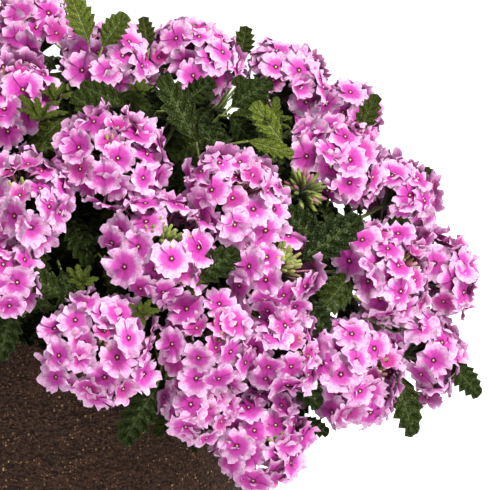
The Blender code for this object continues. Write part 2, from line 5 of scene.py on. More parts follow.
import bpy
import numpy as np
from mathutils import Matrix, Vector


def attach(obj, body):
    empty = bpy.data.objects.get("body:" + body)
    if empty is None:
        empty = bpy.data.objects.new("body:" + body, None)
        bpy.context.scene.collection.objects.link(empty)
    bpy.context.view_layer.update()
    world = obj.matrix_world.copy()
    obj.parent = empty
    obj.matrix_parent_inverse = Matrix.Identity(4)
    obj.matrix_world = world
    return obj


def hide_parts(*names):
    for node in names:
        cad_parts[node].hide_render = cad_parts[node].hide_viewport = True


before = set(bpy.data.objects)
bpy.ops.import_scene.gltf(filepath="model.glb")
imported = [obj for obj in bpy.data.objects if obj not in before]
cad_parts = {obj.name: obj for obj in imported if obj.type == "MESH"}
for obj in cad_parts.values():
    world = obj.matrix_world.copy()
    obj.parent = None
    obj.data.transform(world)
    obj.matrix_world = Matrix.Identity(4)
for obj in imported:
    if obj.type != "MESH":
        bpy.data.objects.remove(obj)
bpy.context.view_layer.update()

bl_info = {
    "name": "Potted verbena",
    "version": (1, 0, 0),
    "blender": (4, 5, 0),
    "location": "3D View > Sidebar > Verbena",
    "description": "Builds a verbena in a planter: florets, buds, leaves, stems, planter and soil",
    "category": "Object",
}

MM = 0.001
BODY = "root"
SEED = 2024
FULL_TURN = 2 * math.pi
GOLDEN_TURN = math.pi * (3 - math.sqrt(5))
UP = np.array([0.0, 0.0, 1.0])

# The planter and the dome that the heads lie on, as in the solids
POT_HEIGHT = 150 * MM
POT_RIM_RADIUS = 98 * MM
POT_FOOT_RADIUS = 92 * MM
POT_WALL = 6 * MM
POT_FLOOR = 7 * MM
SOIL_TOP = POT_HEIGHT - 9 * MM
SOIL_CROWN = 4 * MM
DOME = np.array([188, 168, 140]) * MM
DOME_MIDDLE = POT_HEIGHT * UP
DOME_FOOT = (POT_HEIGHT - 0.45 * DOME[2]) * UP
HEAD_DEPTH = 0.78
HEAD_BASE_SHARE = 0.62
FULL_HEAD = 28 * MM
SHOOTS = 8

# The photograph looks down on the plant by this angle
VIEW_TILT = math.radians(8)
TILT_COS, TILT_SIN = math.cos(VIEW_TILT), math.sin(VIEW_TILT)

# Heads with a tuft of green buds in the middle, by the number in their node's name
TUFTED = (9, 14)
# A head that is all buds: across and up as it appears from the front, and radius, in millimetres
BUD_HEAD = (125, 68, 12)

# Leaves that stand clear of the heads on the front, as they appear from there, in millimetres:
# root, tip, width, how far in front of the dome's surface, and how young, from 0, dark, to 1, pale
FRONT_LEAVES = (
    ((51, -28), (31, -57), 18, 2, 0.05),
    ((60, -24), (68, -40), 13, -6, 0.1),
    ((30, -22), (22, -40), 13, -4, 0.1),
    ((167, -22), (180, -56), 17, 18, 0.1),
    ((198, -20), (215, -38), 14, 12, 0.1),
    ((14, 141), (6, 164), 15, 34, 0.85),
    ((20, 138), (31, 155), 14, 34, 0.6),
    ((90, 134), (93, 151), 12, 20, 0.3),
    ((44, 138), (41, 154), 10, 20, 0.3),
    ((-20, 14), (-28, -16), 16, 2, 0.05),
    ((6, 14), (-15, 26), 15, 3, 0.1),
    ((12, 14), (4, 2), 12, -8, 0.0),
    ((118, 30), (148, 52), 20, 6, 0.0),
    ((132, 38), (112, 58), 18, 4, 0.05),
    ((150, 52), (140, 34), 15, -4, 0.0),
    ((70, 88), (52, 122), 16, 2, 0.1),
    ((74, 94), (56, 84), 15, 2, 0.1),
    ((66, 104), (86, 82), 16, 4, 0.05),
    ((84, 106), (98, 90), 14, 0, 0.05),
    ((60, 110), (76, 122), 14, -4, 0.1),
    ((112, 90), (98, 110), 13, 10, 1.0),
    ((92, 92), (116, 86), 10, 8, 1.0),
    ((84, 108), (104, 122), 16, 2, 0.1),
    ((104, 104), (90, 124), 14, 6, 0.15),
    ((30, 98), (8, 114), 15, 2, 0.15),
    ((34, 108), (12, 120), 14, 0, 0.15),
    ((4, 104), (-16, 88), 13, 0, 0.6),
    ((28, 116), (44, 108), 13, 0, 0.15),
    ((62, 20), (88, 36), 17, 4, 0.05),
    ((60, 18), (42, 30), 15, 4, 0.1),
    ((66, 14), (84, 4), 14, -6, 0.0),
    ((116, 12), (134, -2), 18, -4, 0.0),
    ((126, 22), (118, -4), 17, -6, 0.0),
    ((112, -18), (130, -40), 16, -8, 0.0),
    ((126, -30), (112, -52), 14, -10, 0.05),
    ((108, 0), (122, -20), 16, -8, 0.0),
    ((118, -48), (134, -54), 10, -2, 0.05),
    ((180, 80), (194, 74), 10, 6, 0.2),
    ((150, 94), (160, 116), 12, 2, 0.3),
    ((160, 44), (176, 50), 14, -6, 0.05),
)

# Tips of young shoots on the front: across, up, and length of their leaves, in millimetres
YOUNG_SPRIGS = (
    (12, 21, 12),
    (40, 6, 10),
    (-9, 99, 16),
    (-2, 108, 15),
    (102, 98, 16),
    (62, 20, 10),
    (38, 112, 10),
)
SPRIG_LEAVES = 9

# Layers of leaves that a rule places: how far out on the dome, how many, the height of the lowest as a
# share of the dome's, and how many of a head's radii their middles keep from its centre
INNER_LAYERS = ((0.74, 260, -0.08, 0.5), (0.82, 280, -0.36, 0.72))
OUTER_LAYERS = ((0.89, 215, -0.36, 0.72), (0.95, 190, -0.36, 0.72))


def unit(v):
    """v divided by its length, along the last axis."""
    return v / np.linalg.norm(v, axis=-1, keepdims=True)


def outward(place):
    """Unit vector to place from DOME_FOOT, a point low in the plant's middle."""
    return unit(place - DOME_FOOT)


def frames_about(axis):
    """Two unit vectors square to axis: a = k x axis and b = axis x a, k being Z, or X if axis is near Z."""
    helper = np.where(np.abs(axis[..., 2:3]) < 0.9, UP, np.array([1.0, 0.0, 0.0]))
    first = unit(np.cross(helper, axis))
    return first, np.cross(axis, first)


def around(axis, angle):
    """The unit vector a cos t + b sin t, square to axis, with a and b as in frames_about."""
    first, second = frames_about(axis)
    return first * np.cos(angle)[..., None] + second * np.sin(angle)[..., None]


def spiral_about(axis, height, turn):
    """The unit vectors axis h + (a cos t + b sin t) sqrt(1 - h^2), for each h in height and t in turn."""
    return axis * height[:, None] + around(axis, turn) * np.sqrt(1 - height**2)[:, None]


def seen_point(across, up, depth):
    """The point at depth y that appears at (across, up) from the front: z cos t = up - (rim + y) sin t."""
    return np.array([across, depth, (up - (POT_RIM_RADIUS + depth) * TILT_SIN) / TILT_COS + POT_HEIGHT])


def dome_point(across, up):
    """The near point of the dome that appears at (across, up) from the front.

    With z from seen_point, its depth y is the lower root of (x/a)^2 + (y/b)^2 + (z/c)^2 = 1.
    """
    seen = (up - POT_RIM_RADIUS * TILT_SIN) / TILT_COS / DOME[2]
    slope = TILT_SIN / TILT_COS / DOME[2]
    square = 1 / DOME[1] ** 2 + slope**2
    linear = -2 * seen * slope
    rest = (across / DOME[0]) ** 2 + seen**2 - 1
    depth = (-linear - math.sqrt(max(linear**2 - 4 * square * rest, 0.0))) / (2 * square)
    return seen_point(across, up, depth)


def dome_share(place):
    """How far out a place is from the dome's middle, 1 being on the dome."""
    return np.linalg.norm((place - DOME_MIDDLE) / DOME, axis=-1)


def in_planter(place, aside, above):
    """Whether a place is within the planter's rim carried out by aside and up by above."""
    return (np.hypot(place[:, 0], place[:, 1]) < POT_RIM_RADIUS + aside) & (place[:, 2] < POT_HEIGHT + above)


def columns(heads, *keys):
    """For each key an array of the heads' values."""
    return [np.array([head[key] for head in heads]) for key in keys]


def nearest_head(places, heads):
    """Each place's least distance to a head's centre, in radii of that head."""
    centres, radii = columns(heads, "centre", "radius")
    return (np.linalg.norm(places[:, None] - centres, axis=-1) / radii).min(axis=1)


def read_heads():
    """Centre, axis and radius of each flower head, measured on its solid.

    The axis runs outward from DOME_FOOT; along it the solid reaches HEAD_DEPTH r in front of its centre and
    HEAD_BASE_SHARE HEAD_DEPTH r behind.
    """
    heads = []
    for name, node in sorted(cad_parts.items()):
        if not name.startswith("flower_head"):
            continue
        coords = np.empty(len(node.data.vertices) * 3)
        node.data.vertices.foreach_get("co", coords)
        matrix = np.array(node.matrix_world)
        points = coords.reshape(-1, 3) @ matrix[:3, :3].T + matrix[:3, 3]
        middle = (points.min(axis=0) + points.max(axis=0)) / 2
        axis = outward(middle)
        for _ in range(3):
            along = (points - middle) @ axis
            low, high = along.min(), along.max()
            middle = middle + axis * (low + (high - low) * HEAD_BASE_SHARE / (1 + HEAD_BASE_SHARE))
            axis = outward(middle)
        radius = (high - low) / (HEAD_DEPTH * (1 + HEAD_BASE_SHARE))
        head = {"node": name, "number": int(name[-2:]), "centre": middle, "axis": axis, "radius": radius}
        heads.append(head)
    return heads


# Meshes


def put_mesh(name, shape, material, nodes=()):
    """A piece from a shape, which is points (n, 3), faces (m, 4), uv (n, 2), tone (n, 3) and sharp (n).

    A triangle is a face with its last corner repeated. The materials read tone as a colour attribute. An edge
    is sharp where both its ends are.
    """
    points, faces, uv, tone, sharp = shape
    is_triangle = faces[:, 3] == faces[:, 2]
    keep = np.ones(faces.shape, bool)
    keep[:, 3] = ~is_triangle
    corners = faces[keep].astype(np.int32)
    starts = np.concatenate([[0], np.cumsum(np.where(is_triangle, 3, 4))[:-1]])
    mesh = bpy.data.meshes.new(name)
    mesh.vertices.add(len(points))
    mesh.vertices.foreach_set("co", points.astype(np.float32).ravel())
    mesh.loops.add(len(corners))
    mesh.loops.foreach_set("vertex_index", corners)
    mesh.polygons.add(len(faces))
    mesh.polygons.foreach_set("loop_start", starts.astype(np.int32))
    mesh.update(calc_edges=True)
    mesh.polygons.foreach_set("use_smooth", np.ones(len(faces), bool))
    mesh.uv_layers.new(name="UVMap").data.foreach_set("uv", uv[corners].astype(np.float32).ravel())
    opaque = np.concatenate([tone, np.ones((len(tone), 1))], axis=1)
    colour = mesh.attributes.new("tone", "FLOAT_COLOR", "POINT")
    colour.data.foreach_set("color", opaque.astype(np.float32).ravel())
    if sharp.any():
        ends = np.empty(len(mesh.edges) * 2, dtype=np.int32)
        mesh.edges.foreach_get("vertices", ends)
        edge = mesh.attributes.new("sharp_edge", "BOOLEAN", "EDGE")
        edge.data.foreach_set("value", sharp[ends.reshape(-1, 2)].all(axis=1))
    mesh.validate()
    mesh.materials.append(material)
    piece = bpy.data.objects.new(name, mesh)
    bpy.context.scene.collection.objects.link(piece)
    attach(piece, BODY)
    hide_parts(*nodes)


def repeat_faces(faces, count, size):
    """The faces of a form of size points, repeated for count copies of it."""
    return (faces[None] + np.arange(count)[:, None, None] * size).reshape(-1, 4)


def join_shapes(shapes):
    """Several shapes as one, with the faces' numbers carried on."""
    starts = np.cumsum([0] + [len(shape[0]) for shape in shapes[:-1]])
    faces = np.concatenate([shape[1] + start for shape, start in zip(shapes, starts)])
    points, uv, tone, sharp = (np.concatenate([shape[i] for shape in shapes]) for i in (0, 2, 3, 4))
    return points, faces, uv, tone, sharp


def blade_faces(rows, columns):
    """Faces of a thin closed blade: a grid above, the same grid below, one shared outline.

    Returns the faces, and for each point its place in the grid, 1 if it is underneath, and whether it is
    on the outline.
    """
    above = np.arange(rows * columns).reshape(rows, columns)
    below = above.copy()
    inner = (rows - 2) * (columns - 2)
    below[1:-1, 1:-1] = rows * columns + np.arange(inner).reshape(rows - 2, columns - 2)

    def quads(grid):
        return np.stack([grid[:-1, :-1], grid[1:, :-1], grid[1:, 1:], grid[:-1, 1:]], axis=-1).reshape(-1, 4)

    faces = np.concatenate([quads(above), quads(below)[:, ::-1]])
    source = np.concatenate([above.ravel(), above[1:-1, 1:-1].ravel()])
    under = np.repeat([0.0, 1.0], [rows * columns, inner])
    outline = np.ones((rows, columns), bool)
    outline[1:-1, 1:-1] = False
    return faces, source, under, np.concatenate([outline.ravel(), np.zeros(inner, bool)])


def carry_blades(grid, thickness, u, v, root, along, up, shade, youth):
    """Local grids (count, rows, columns, 3) made thin closed blades and carried into place, as one shape.

    A point (x, y, z) goes to root + x along + y (up x along) + z up, and the underside lies thickness below.
    """
    count, rows, width, _ = grid.shape
    faces, source, under, rim = blade_faces(rows, width)
    points = grid.reshape(count, rows * width, 3)[:, source]
    points[..., 2] -= under * thickness
    world = root[:, None] + points @ np.stack([along, np.cross(up, along), up], axis=1)
    uv = np.stack([np.repeat(u, width)[source], np.tile(v, rows)[source]], axis=-1)
    tone = np.stack(np.broadcast_arrays(shade[:, None], under, youth[:, None]), axis=-1)
    faces = repeat_faces(faces, count, len(source))
    return world.reshape(-1, 3), faces, np.tile(uv, (count, 1)), tone.reshape(-1, 3), np.tile(rim, count)


def shell_faces(rows, sides):
    """Faces of a closed shell: rings of points from low to high, then a point below them and one above."""
    grid = np.arange(rows * sides).reshape(rows, sides)
    after = np.roll(grid, -1, axis=1)
    wall = np.stack([grid[:-1], after[:-1], after[1:], grid[1:]], axis=-1).reshape(-1, 4)
    low = np.full(sides, rows * sides)
    foot = np.stack([after[0], grid[0], low, low], axis=-1)
    top = np.stack([grid[-1], after[-1], low + 1, low + 1], axis=-1)
    return np.concatenate([wall, foot, top])


def shell_uv(rows, sides):
    """UV of a closed shell's points: how far round, and how far up."""
    u = np.tile(np.arange(sides) / sides, rows)
    v = np.repeat(np.linspace(0, 1, rows), sides)
    return np.concatenate([np.stack([u, v], axis=-1), [[0.5, 0.0], [0.5, 1.0]]])


def closed_shell(shell, low, high):
    """A shape from rings (rows, sides, 3) that run upward, closed to the point low and the point high."""
    rows, sides, _ = shell.shape
    points = np.concatenate([shell.reshape(-1, 3), [low, high]])
    tone = np.full((len(points), 3), 0.5)
    return points, shell_faces(rows, sides), shell_uv(rows, sides), tone, np.zeros(len(points), bool)


def tubes(paths, radii, sides, tone):
    """Closed tubes as one shape: ring k of a tube is path[k] + radius[k] (a cos s + b sin s).

    paths is (count, rings, 3), radii has a number for each ring, and tone a row for each tube.
    """
    count, rings, _ = paths.shape
    along = unit(np.gradient(paths, axis=1) + 1e-12)
    first, _ = frames_about(along[:, :1])
    first = unit(first - along * np.sum(first * along, axis=-1, keepdims=True))
    second = np.cross(along, first)
    turn = np.linspace(0, FULL_TURN, sides, endpoint=False)
    ring = first[:, :, None] * np.cos(turn)[:, None] + second[:, :, None] * np.sin(turn)[:, None]
    shell = paths[:, :, None] + ring * np.reshape(radii, (rings, 1, 1))
    points = np.concatenate([shell.reshape(count, -1, 3), paths[:, :1], paths[:, -1:]], axis=1)
    size = points.shape[1]
    faces = repeat_faces(shell_faces(rings, sides), count, size)
    uv = np.tile(shell_uv(rings, sides), (count, 1))
    return points.reshape(-1, 3), faces, uv, np.repeat(tone, size, axis=0), np.zeros(count * size, bool)


def curves(start, control, end, rings):
    """Quadratic curves start (1-t)^2 + 2 control t (1-t) + end t^2, as (count, rings, 3)."""
    t = np.linspace(0, 1, rings)[None, :, None]
    return start[:, None] * (1 - t) ** 2 + control[:, None] * 2 * t * (1 - t) + end[:, None] * t * t


# Petals

PETALS = 5
PETAL_ROWS = 5
PETAL_COLUMNS = 7
HEAD_SPREAD = math.radians(104)


def petal_grid(radius, bend, ruffle, phase, notch):
    """Petals as local grids, u from throat to edge, v from side to side, one for each entry of the inputs.

    Half width is R (0.08 + (0.46 + 0.05 sin 2.7p) sin(min(u / 0.82, 1) pi / 2)^1.2), rounded off near the
    edge, with p the phase. The reach is s = 0.95 u (1 - notch exp(-(v / 0.26)^2) u^2 - 0.2 |v|^2.4 u), and
    the blade is rolled up by the angle bend: x = 0.05 + sin(bend s) / bend, and z = (1 - cos(bend s)) / bend.
    A fold down the middle, a slope that laps each petal over the next, and waves along the edge are added
    to z.
    """
    u = np.linspace(0, 1, PETAL_ROWS)[None, :, None]
    v = np.linspace(-1, 1, PETAL_COLUMNS)[None, None, :]
    radius, bend, ruffle, phase, notch = (x[:, None, None] for x in (radius, bend, ruffle, phase, notch))
    throat = 0.05
    width = 0.08 + (0.46 + 0.05 * np.sin(2.7 * phase)) * np.sin(np.clip(u / 0.82, 0, 1) * math.pi / 2) ** 1.2
    width = width * (1 - 0.2 * np.clip((u - 0.74) / 0.26, 0, 1) ** 1.5)
    reach = (1 - throat) * u * (1 - notch * np.exp(-((v / 0.26) ** 2)) * u**2 - 0.2 * np.abs(v) ** 2.4 * u)
    reach = reach * (1 + 0.05 * np.sin(phase + 8.0 * v) * u**3)
    angle = np.where(np.abs(bend) < 1e-3, 1e-3, bend)
    x = throat + np.sin(angle * reach) / angle
    y = v * width * (1 - 0.1 * np.abs(angle) * u) + 0.03 * np.sin(1.7 * phase) * u**2
    z = (1 - np.cos(angle * reach)) / angle
    z = z + 0.10 * v * u - 0.07 * u * np.exp(-((v / 0.3) ** 2)) - 0.05 * v**2 * u * np.sign(angle)
    z = z + ruffle * u**2 * np.sin(phase + 4.6 * v) + 0.5 * ruffle * u**3 * np.sin(2.3 * phase + 11.0 * v)
    return np.stack(np.broadcast_arrays(x, y, z), axis=-1) * radius[..., None]


def floret_sites(head, heads, rng, settings):
    """Places, normals, sizes and youth of the florets of one head.

    The directions d follow a golden spiral from the head's axis out to the spread; a place is
    centre + r (d flattened along the axis), and the normal is that of the flattened dome. Florets in the next
    head's half of the room between two heads are left out, and those near it turn away.
    """
    centre, axis, radius = head["centre"], head["axis"], head["radius"]
    count = max(7, round(settings.florets_each * (radius / FULL_HEAD) ** 1.7))
    order = np.arange(count)
    height = 1 - (1 - math.cos(HEAD_SPREAD)) * (order + 0.4) / count
    directions = spiral_about(axis, height, order * GOLDEN_TURN + head["number"] * 1.3)
    directions = unit(directions + rng.normal(0, 0.06, (count, 3)))
    along = directions @ axis
    flat = directions - np.outer(along * (1 - HEAD_DEPTH), axis)
    lean = rng.normal(0, 0.25, (count, 3))
    normals = unit(directions + np.outer(along * (1 / HEAD_DEPTH - 1), axis) + lean)
    level = np.where(order % 3 == 1, rng.uniform(0.76, 0.84, count), rng.uniform(0.86, 0.96, count))
    places = centre + flat * radius * level[:, None]
    vigour = min(1.0, 0.66 + 0.36 * radius / FULL_HEAD)
    size = settings.floret_radius * rng.uniform(0.86, 1.08, count) * vigour
    youth = np.clip(1.0 - order / 3.5, 0, 1) * rng.uniform(0.2, 0.8) + rng.uniform(0, 0.3, count) ** 2
    youth += (rng.uniform(0, 1, count) > 0.93) * 0.5
    stay = ~in_planter(places, 6 * MM, 3 * MM)
    if head["number"] in TUFTED:
        stay &= order > 3
    for other in heads:
        between = other["centre"] - centre
        gap = np.linalg.norm(between)
        if other is head or gap > radius + other["radius"] + 4 * MM:
            continue
        beyond = (places - centre) @ (between / gap) - gap * radius / (radius + other["radius"])
        stay &= beyond < 1.5 * MM
        turn_away = np.clip(beyond + 6 * MM, 0, 8 * MM) / (14 * MM)
        normals = unit(normals - np.outer(turn_away, between / gap))
    return places[stay], normals[stay], size[stay], np.clip(youth[stay], 0, 1)


def make_head(head, heads, rng, settings, material):
    """One head's petals: five blades round each floret, carried into place by the floret's own frame."""
    places, normals, size, youth = floret_sites(head, heads, rng, settings)
    count = len(places)
    each = (count, PETALS)
    spin = rng.uniform(0, FULL_TURN, count)
    angle = spin[:, None] + FULL_TURN * np.arange(PETALS) / PETALS + rng.normal(0, 0.05, each)
    big = (size * (1 - 0.3 * youth))[:, None] * rng.uniform(0.88, 1.08, each)
    cup = rng.normal(0.05, 0.3, count) + 1.5 * youth**1.5
    bend = cup[:, None] + rng.normal(0, 0.36, each)
    ruffle = settings.ruffle * rng.uniform(0.5, 1.5, each)
    phase = rng.uniform(0, FULL_TURN, each)
    notch = settings.notch * rng.uniform(0.5, 1.6, each)
    grid = petal_grid(*(x.ravel() for x in (big, bend, ruffle, phase, notch)))
    shade = np.repeat(rng.uniform(0, 1, count), PETALS) * 0.75 + 0.25 * rng.uniform(0, 1, count * PETALS)
    depth = 0.5 + 0.5 * math.sin(2.4 * head["number"])
    shade = 0.64 * shade + 0.36 * depth
    along = around(normals[:, None], angle).reshape(-1, 3)
    root, up, youth = (np.repeat(x, PETALS, axis=0) for x in (places, normals, youth))
    u, v = np.linspace(0, 1, PETAL_ROWS), np.linspace(0, 1, PETAL_COLUMNS)
    shape = carry_blades(grid, settings.petal_thickness, u, v, root, along, up, shade, youth)
    put_mesh(f"petals_{head['number']:02d}", shape, material, (head["node"],))
    return places, normals


# Leaves: the number of teeth on each side, and the places of the columns from side to side

OUTER_LEAF = (6, np.array([-1.0, -0.66, -0.32, 0.0, 0.32, 0.66, 1.0]))
INNER_LEAF = (4, np.array([-1.0, -0.5, 0.0, 0.5, 1.0]))
LEAF_STALK_SHARE = 0.1


def leaf_rows(teeth):
    """Places of a leaf's rows along it: the stalk, then one at each tooth's point and one at each gap."""
    blade = np.linspace(0, 1, 2 * teeth + 1)
    return np.concatenate([[0.0], LEAF_STALK_SHARE + (1 - LEAF_STALK_SHARE) * blade])


def leaf_grid(teeth, v, length, width, bend, fold, phase):
    """Leaves as local grids, u from stalk to tip, v from side to side.

    Half width is 0.5 W (0.07 + 0.93 sin(pi s^0.74)^0.72), with s = (u - 0.1) / 0.9, and every second row's
    ends are drawn in by 0.3, which leaves teeth. The blade is lifted by fold |v| w, puckered between its
    side veins by rows that go up and down in turn, and rolled down along its length by the angle bend.
    """
    u = leaf_rows(teeth)
    s = np.clip((u - LEAF_STALK_SHARE) / (1 - LEAF_STALK_SHARE), 0, 1)
    half = 0.07 + 0.93 * np.sin(math.pi * s**0.74) ** 0.72
    half[:2] = (0.07, 0.10)
    half[-1] = 0.02
    point = np.arange(len(u)) % 2 == 1
    point[-1] = False
    edge = np.abs(v) > 0.9
    inside = ((u > 0.14) & (u < 0.99))[:, None]
    half_width = half[:, None] * (1 - 0.30 * np.outer(~point, edge) * inside)
    reach = u[:, None] + 0.05 * np.outer(point, edge) * inside + 0.05 * np.abs(v)[None] * inside
    length, width, bend, fold, phase = (x[:, None, None] for x in (length, width, bend, fold, phase))
    angle = np.where(np.abs(bend) < 1e-3, 1e-3, bend)
    pucker = 0.15 * np.where(point, -1.0, 1.0)[:, None] * np.minimum(np.abs(v) * 3, 1.0)[None] * inside
    waves = 0.07 * np.sin(phase + 7 * u[:, None] + 2 * v) * np.abs(v)
    lift = (fold * np.abs(v) * half_width + pucker + waves) * width * 0.5
    turn = angle * reach
    x = np.sin(turn) / angle * length + np.sin(turn) * lift
    y = v * half_width * width * 0.5
    z = -(1 - np.cos(turn)) / angle * length + np.cos(turn) * lift
    return np.stack(np.broadcast_arrays(x, y, z), axis=-1)


def dome_directions(count, lowest, rng):
    """Directions spread evenly over the dome, from the height lowest up to its top, with some scatter."""
    order = np.arange(count)
    up = lowest + (0.99 - lowest) * (order + 0.5) / count
    ring = np.sqrt(1 - up**2)
    turn = order * GOLDEN_TURN + rng.uniform(0, 6)
    even = np.stack([ring * np.cos(turn), ring * np.sin(turn), up], axis=-1)
    return unit(even + rng.normal(0, 0.05, (count, 3)))


def rule_leaves(heads, rng, settings, layers):
    """Root, direction, face, length, width, bend, fold and youth of the leaves of some layers of the dome."""
    found = []
    for share, count, lowest, clear in layers:
        count = round(count * settings.leaf_density)
        root = dome_directions(count, lowest, rng) * DOME * share + DOME_MIDDLE
        face = outward(root)
        way = around(face, rng.uniform(0, FULL_TURN, count))
        way = unit(way + face * rng.uniform(-0.05, 0.5, (count, 1)) - 0.35 * UP)
        length = settings.leaf_length * rng.uniform(0.75, 1.12, count)
        width = length * rng.uniform(0.46, 0.60, count)
        middle = root + way * length[:, None] * 0.55
        tip = root + way * length[:, None]
        stay = nearest_head(middle, heads) > clear
        for end in (middle, tip):
            stay &= (dome_share(end) < 1.05) & ~in_planter(end, 3 * MM, 3 * MM)
        stay &= ~in_planter(root, 3 * MM, 2 * MM)
        stay &= (nearest_head(root, heads) < 0.9) | (root[:, 2] > POT_HEIGHT + 6 * MM)
        youth = np.clip(rng.beta(1.0, 8.0, count) + (share - 0.9) * 0.3, 0, 1)
        bend = rng.uniform(0.3, 1.1, count)
        fold = rng.uniform(0.15, 0.42, count)
        normal = unit(face + 0.45 * UP + rng.normal(0, 0.2, (count, 3)))
        found.append([x[stay] for x in (root, way, normal, length, width, bend, fold, youth)])
    return [np.concatenate(parts) for parts in zip(*found)]


def front_leaves(rng):
    """The same values for the leaves that the front shows between its heads; they hang from root to tip."""
    rows = []
    spare = 1.06
    for (root_x, root_up), (tip_x, tip_up), width, forward, youth in FRONT_LEAVES:
        depth = dome_point(root_x * MM, root_up * MM)[1] - forward * MM
        root = seen_point(root_x * MM, root_up * MM, depth)
        way = seen_point(tip_x * MM, tip_up * MM, depth - 3 * MM) - root
        length = np.linalg.norm(way) * spare
        face = unit(0.35 * outward(root) + np.array([0.0, -1.0, 0.35]) + rng.normal(0, 0.12, 3))
        bend, fold = rng.uniform(0.1, 0.5), rng.uniform(0.1, 0.3)
        rows.append((root, unit(way), face, length, width * MM * spare, bend, fold, youth))
    return [np.array(column) for column in zip(*rows)]


def stalk_leaves(heads, rng, settings):
    """The same values for the leaves that sit in pairs on the flower stalks, each pair turned from the last.

    A pair grows from the stalk's point at t, out along cos a and sin a of the stalk's own frame.
    """
    _, start, control, end = lay_out_stalks(heads)
    count = len(heads)
    found = []
    for t, turn in ((0.62, 0.0), (0.82, 1.57)):
        root = start * (1 - t) ** 2 + control * 2 * t * (1 - t) + end * t * t
        along = unit((control - start) * (1 - t) + (end - control) * t)
        spin = turn + rng.uniform(0, 1.2, count)
        for half in (0.0, math.pi):
            way = unit(around(along, spin + half) + 0.25 * outward(root) - 0.3 * UP)
            length = settings.leaf_length * rng.uniform(0.7, 1.0, count)
            middle, tip = (root + way * length[:, None] * share for share in (0.6, 1.0))
            stay = nearest_head(middle, heads) > 0.8
            for place in (root, middle, tip):
                stay &= (dome_share(place) < 1.08) & ~in_planter(place, 4 * MM, 3 * MM)
            normal = unit(outward(root) + 0.5 * UP + rng.normal(0, 0.2, (count, 3)))
            width = length * rng.uniform(0.46, 0.58, count)
            bend, fold = rng.uniform(0.3, 1.0, count), rng.uniform(0.15, 0.4, count)
            youth = rng.beta(1.0, 6.0, count)
            found.append([x[stay] for x in (root, way, normal, length, width, bend, fold, youth)])
    return [np.concatenate(parts) for parts in zip(*found)]


def young_sprigs(rng):
    """The same values for the tips of young shoots: small narrow leaves that fan out from a point."""
    rows = []
    for across, up, reach in YOUNG_SPRIGS:
        root = (dome_point(across * MM, up * MM) - DOME_MIDDLE) * 1.04 + DOME_MIDDLE
        face = outward(root)
        for k in range(SPRIG_LEAVES):
            way = unit(face * (0.5 + 0.09 * k) + around(face, 2.4 * k))
            normal = unit(face - way * 0.3 + 0.3 * UP)
            length = reach * MM * rng.uniform(0.7, 1.1) * (1 - 0.04 * k)
            bend, youth = rng.uniform(-0.2, 0.6), rng.uniform(0.85, 1.0)
            rows.append((root, way, normal, length, length * 0.42, bend, 0.3, youth))
    return [np.array(column) for column in zip(*rows)]


def place_leaves(values, form, settings, rng):
    """Carries leaf grids into place by the frame (way, side, up), where up is the face made square to way."""
    root, way, normal, length, width, bend, fold, youth = values
    teeth, steps = form
    grid = leaf_grid(teeth, steps, length, width, bend, fold, rng.uniform(0, 6.28, len(length)))
    up = unit(normal - way * np.sum(normal * way, axis=-1, keepdims=True))
    shade = rng.uniform(0, 1, len(length))
    v = (steps + 1) / 2
    return carry_blades(grid, settings.leaf_thickness, leaf_rows(teeth), v, root, way, up, shade, youth)


def leaf_stalks(values):
    """A thin stalk from inside the plant to each leaf's root: a quadratic curve that ends along the leaf."""
    root, way, length = values[0], values[1], values[3][:, None]
    inside = (root - DOME_MIDDLE) * 0.66 + DOME_MIDDLE
    inside[:, 2] = np.maximum(inside[:, 2], POT_HEIGHT + 12 * MM)
    control = root - way * length * 0.3 + outward(root) * 2 * MM
    paths = curves(inside, control, root + way * length * 0.08, 4)
    tone = np.tile([0.5, 0.0, 0.35], (len(root), 1))
    points, faces, _, tone, sharp = tubes(paths, np.linspace(0.9, 0.6, 4) * MM, 4, tone)
    beside_midrib = np.tile([0.3, 0.5], (len(points), 1))
    return points, faces, beside_midrib, tone, sharp


def make_leaves(heads, settings):
    """The leaves of each shoot's sector as one piece, and the dark shell of painted shade inside the plant.
    """
    rng = np.random.default_rng(SEED + 1)
    outer = [rule_leaves(heads, rng, settings, OUTER_LAYERS), front_leaves(rng)]
    outer.append(stalk_leaves(heads, rng, settings))
    inner = [rule_leaves(heads, rng, settings, INNER_LAYERS), young_sprigs(rng)]
    outer, inner = ([np.concatenate(column) for column in zip(*layer)] for layer in (outer, inner))
    material = leaf_material(settings)
    for k in range(SHOOTS):
        shapes = []
        for values, form in ((outer, OUTER_LEAF), (inner, INNER_LEAF)):
            turn = np.arctan2(values[0][:, 1], values[0][:, 0]) % FULL_TURN
            owner = np.clip((turn * SHOOTS / FULL_TURN).astype(int), 0, SHOOTS - 1)
            own = [x[owner == k] for x in values]
            shapes.append(place_leaves(own, form, settings, rng))
            if form is OUTER_LEAF:
                shapes.append(leaf_stalks(own))
        node = f"leafy_shoot_{k + 1:02d}"
        put_mesh(f"leaves_{k + 1}", join_shapes(shapes), material, (node,))
    make_core()


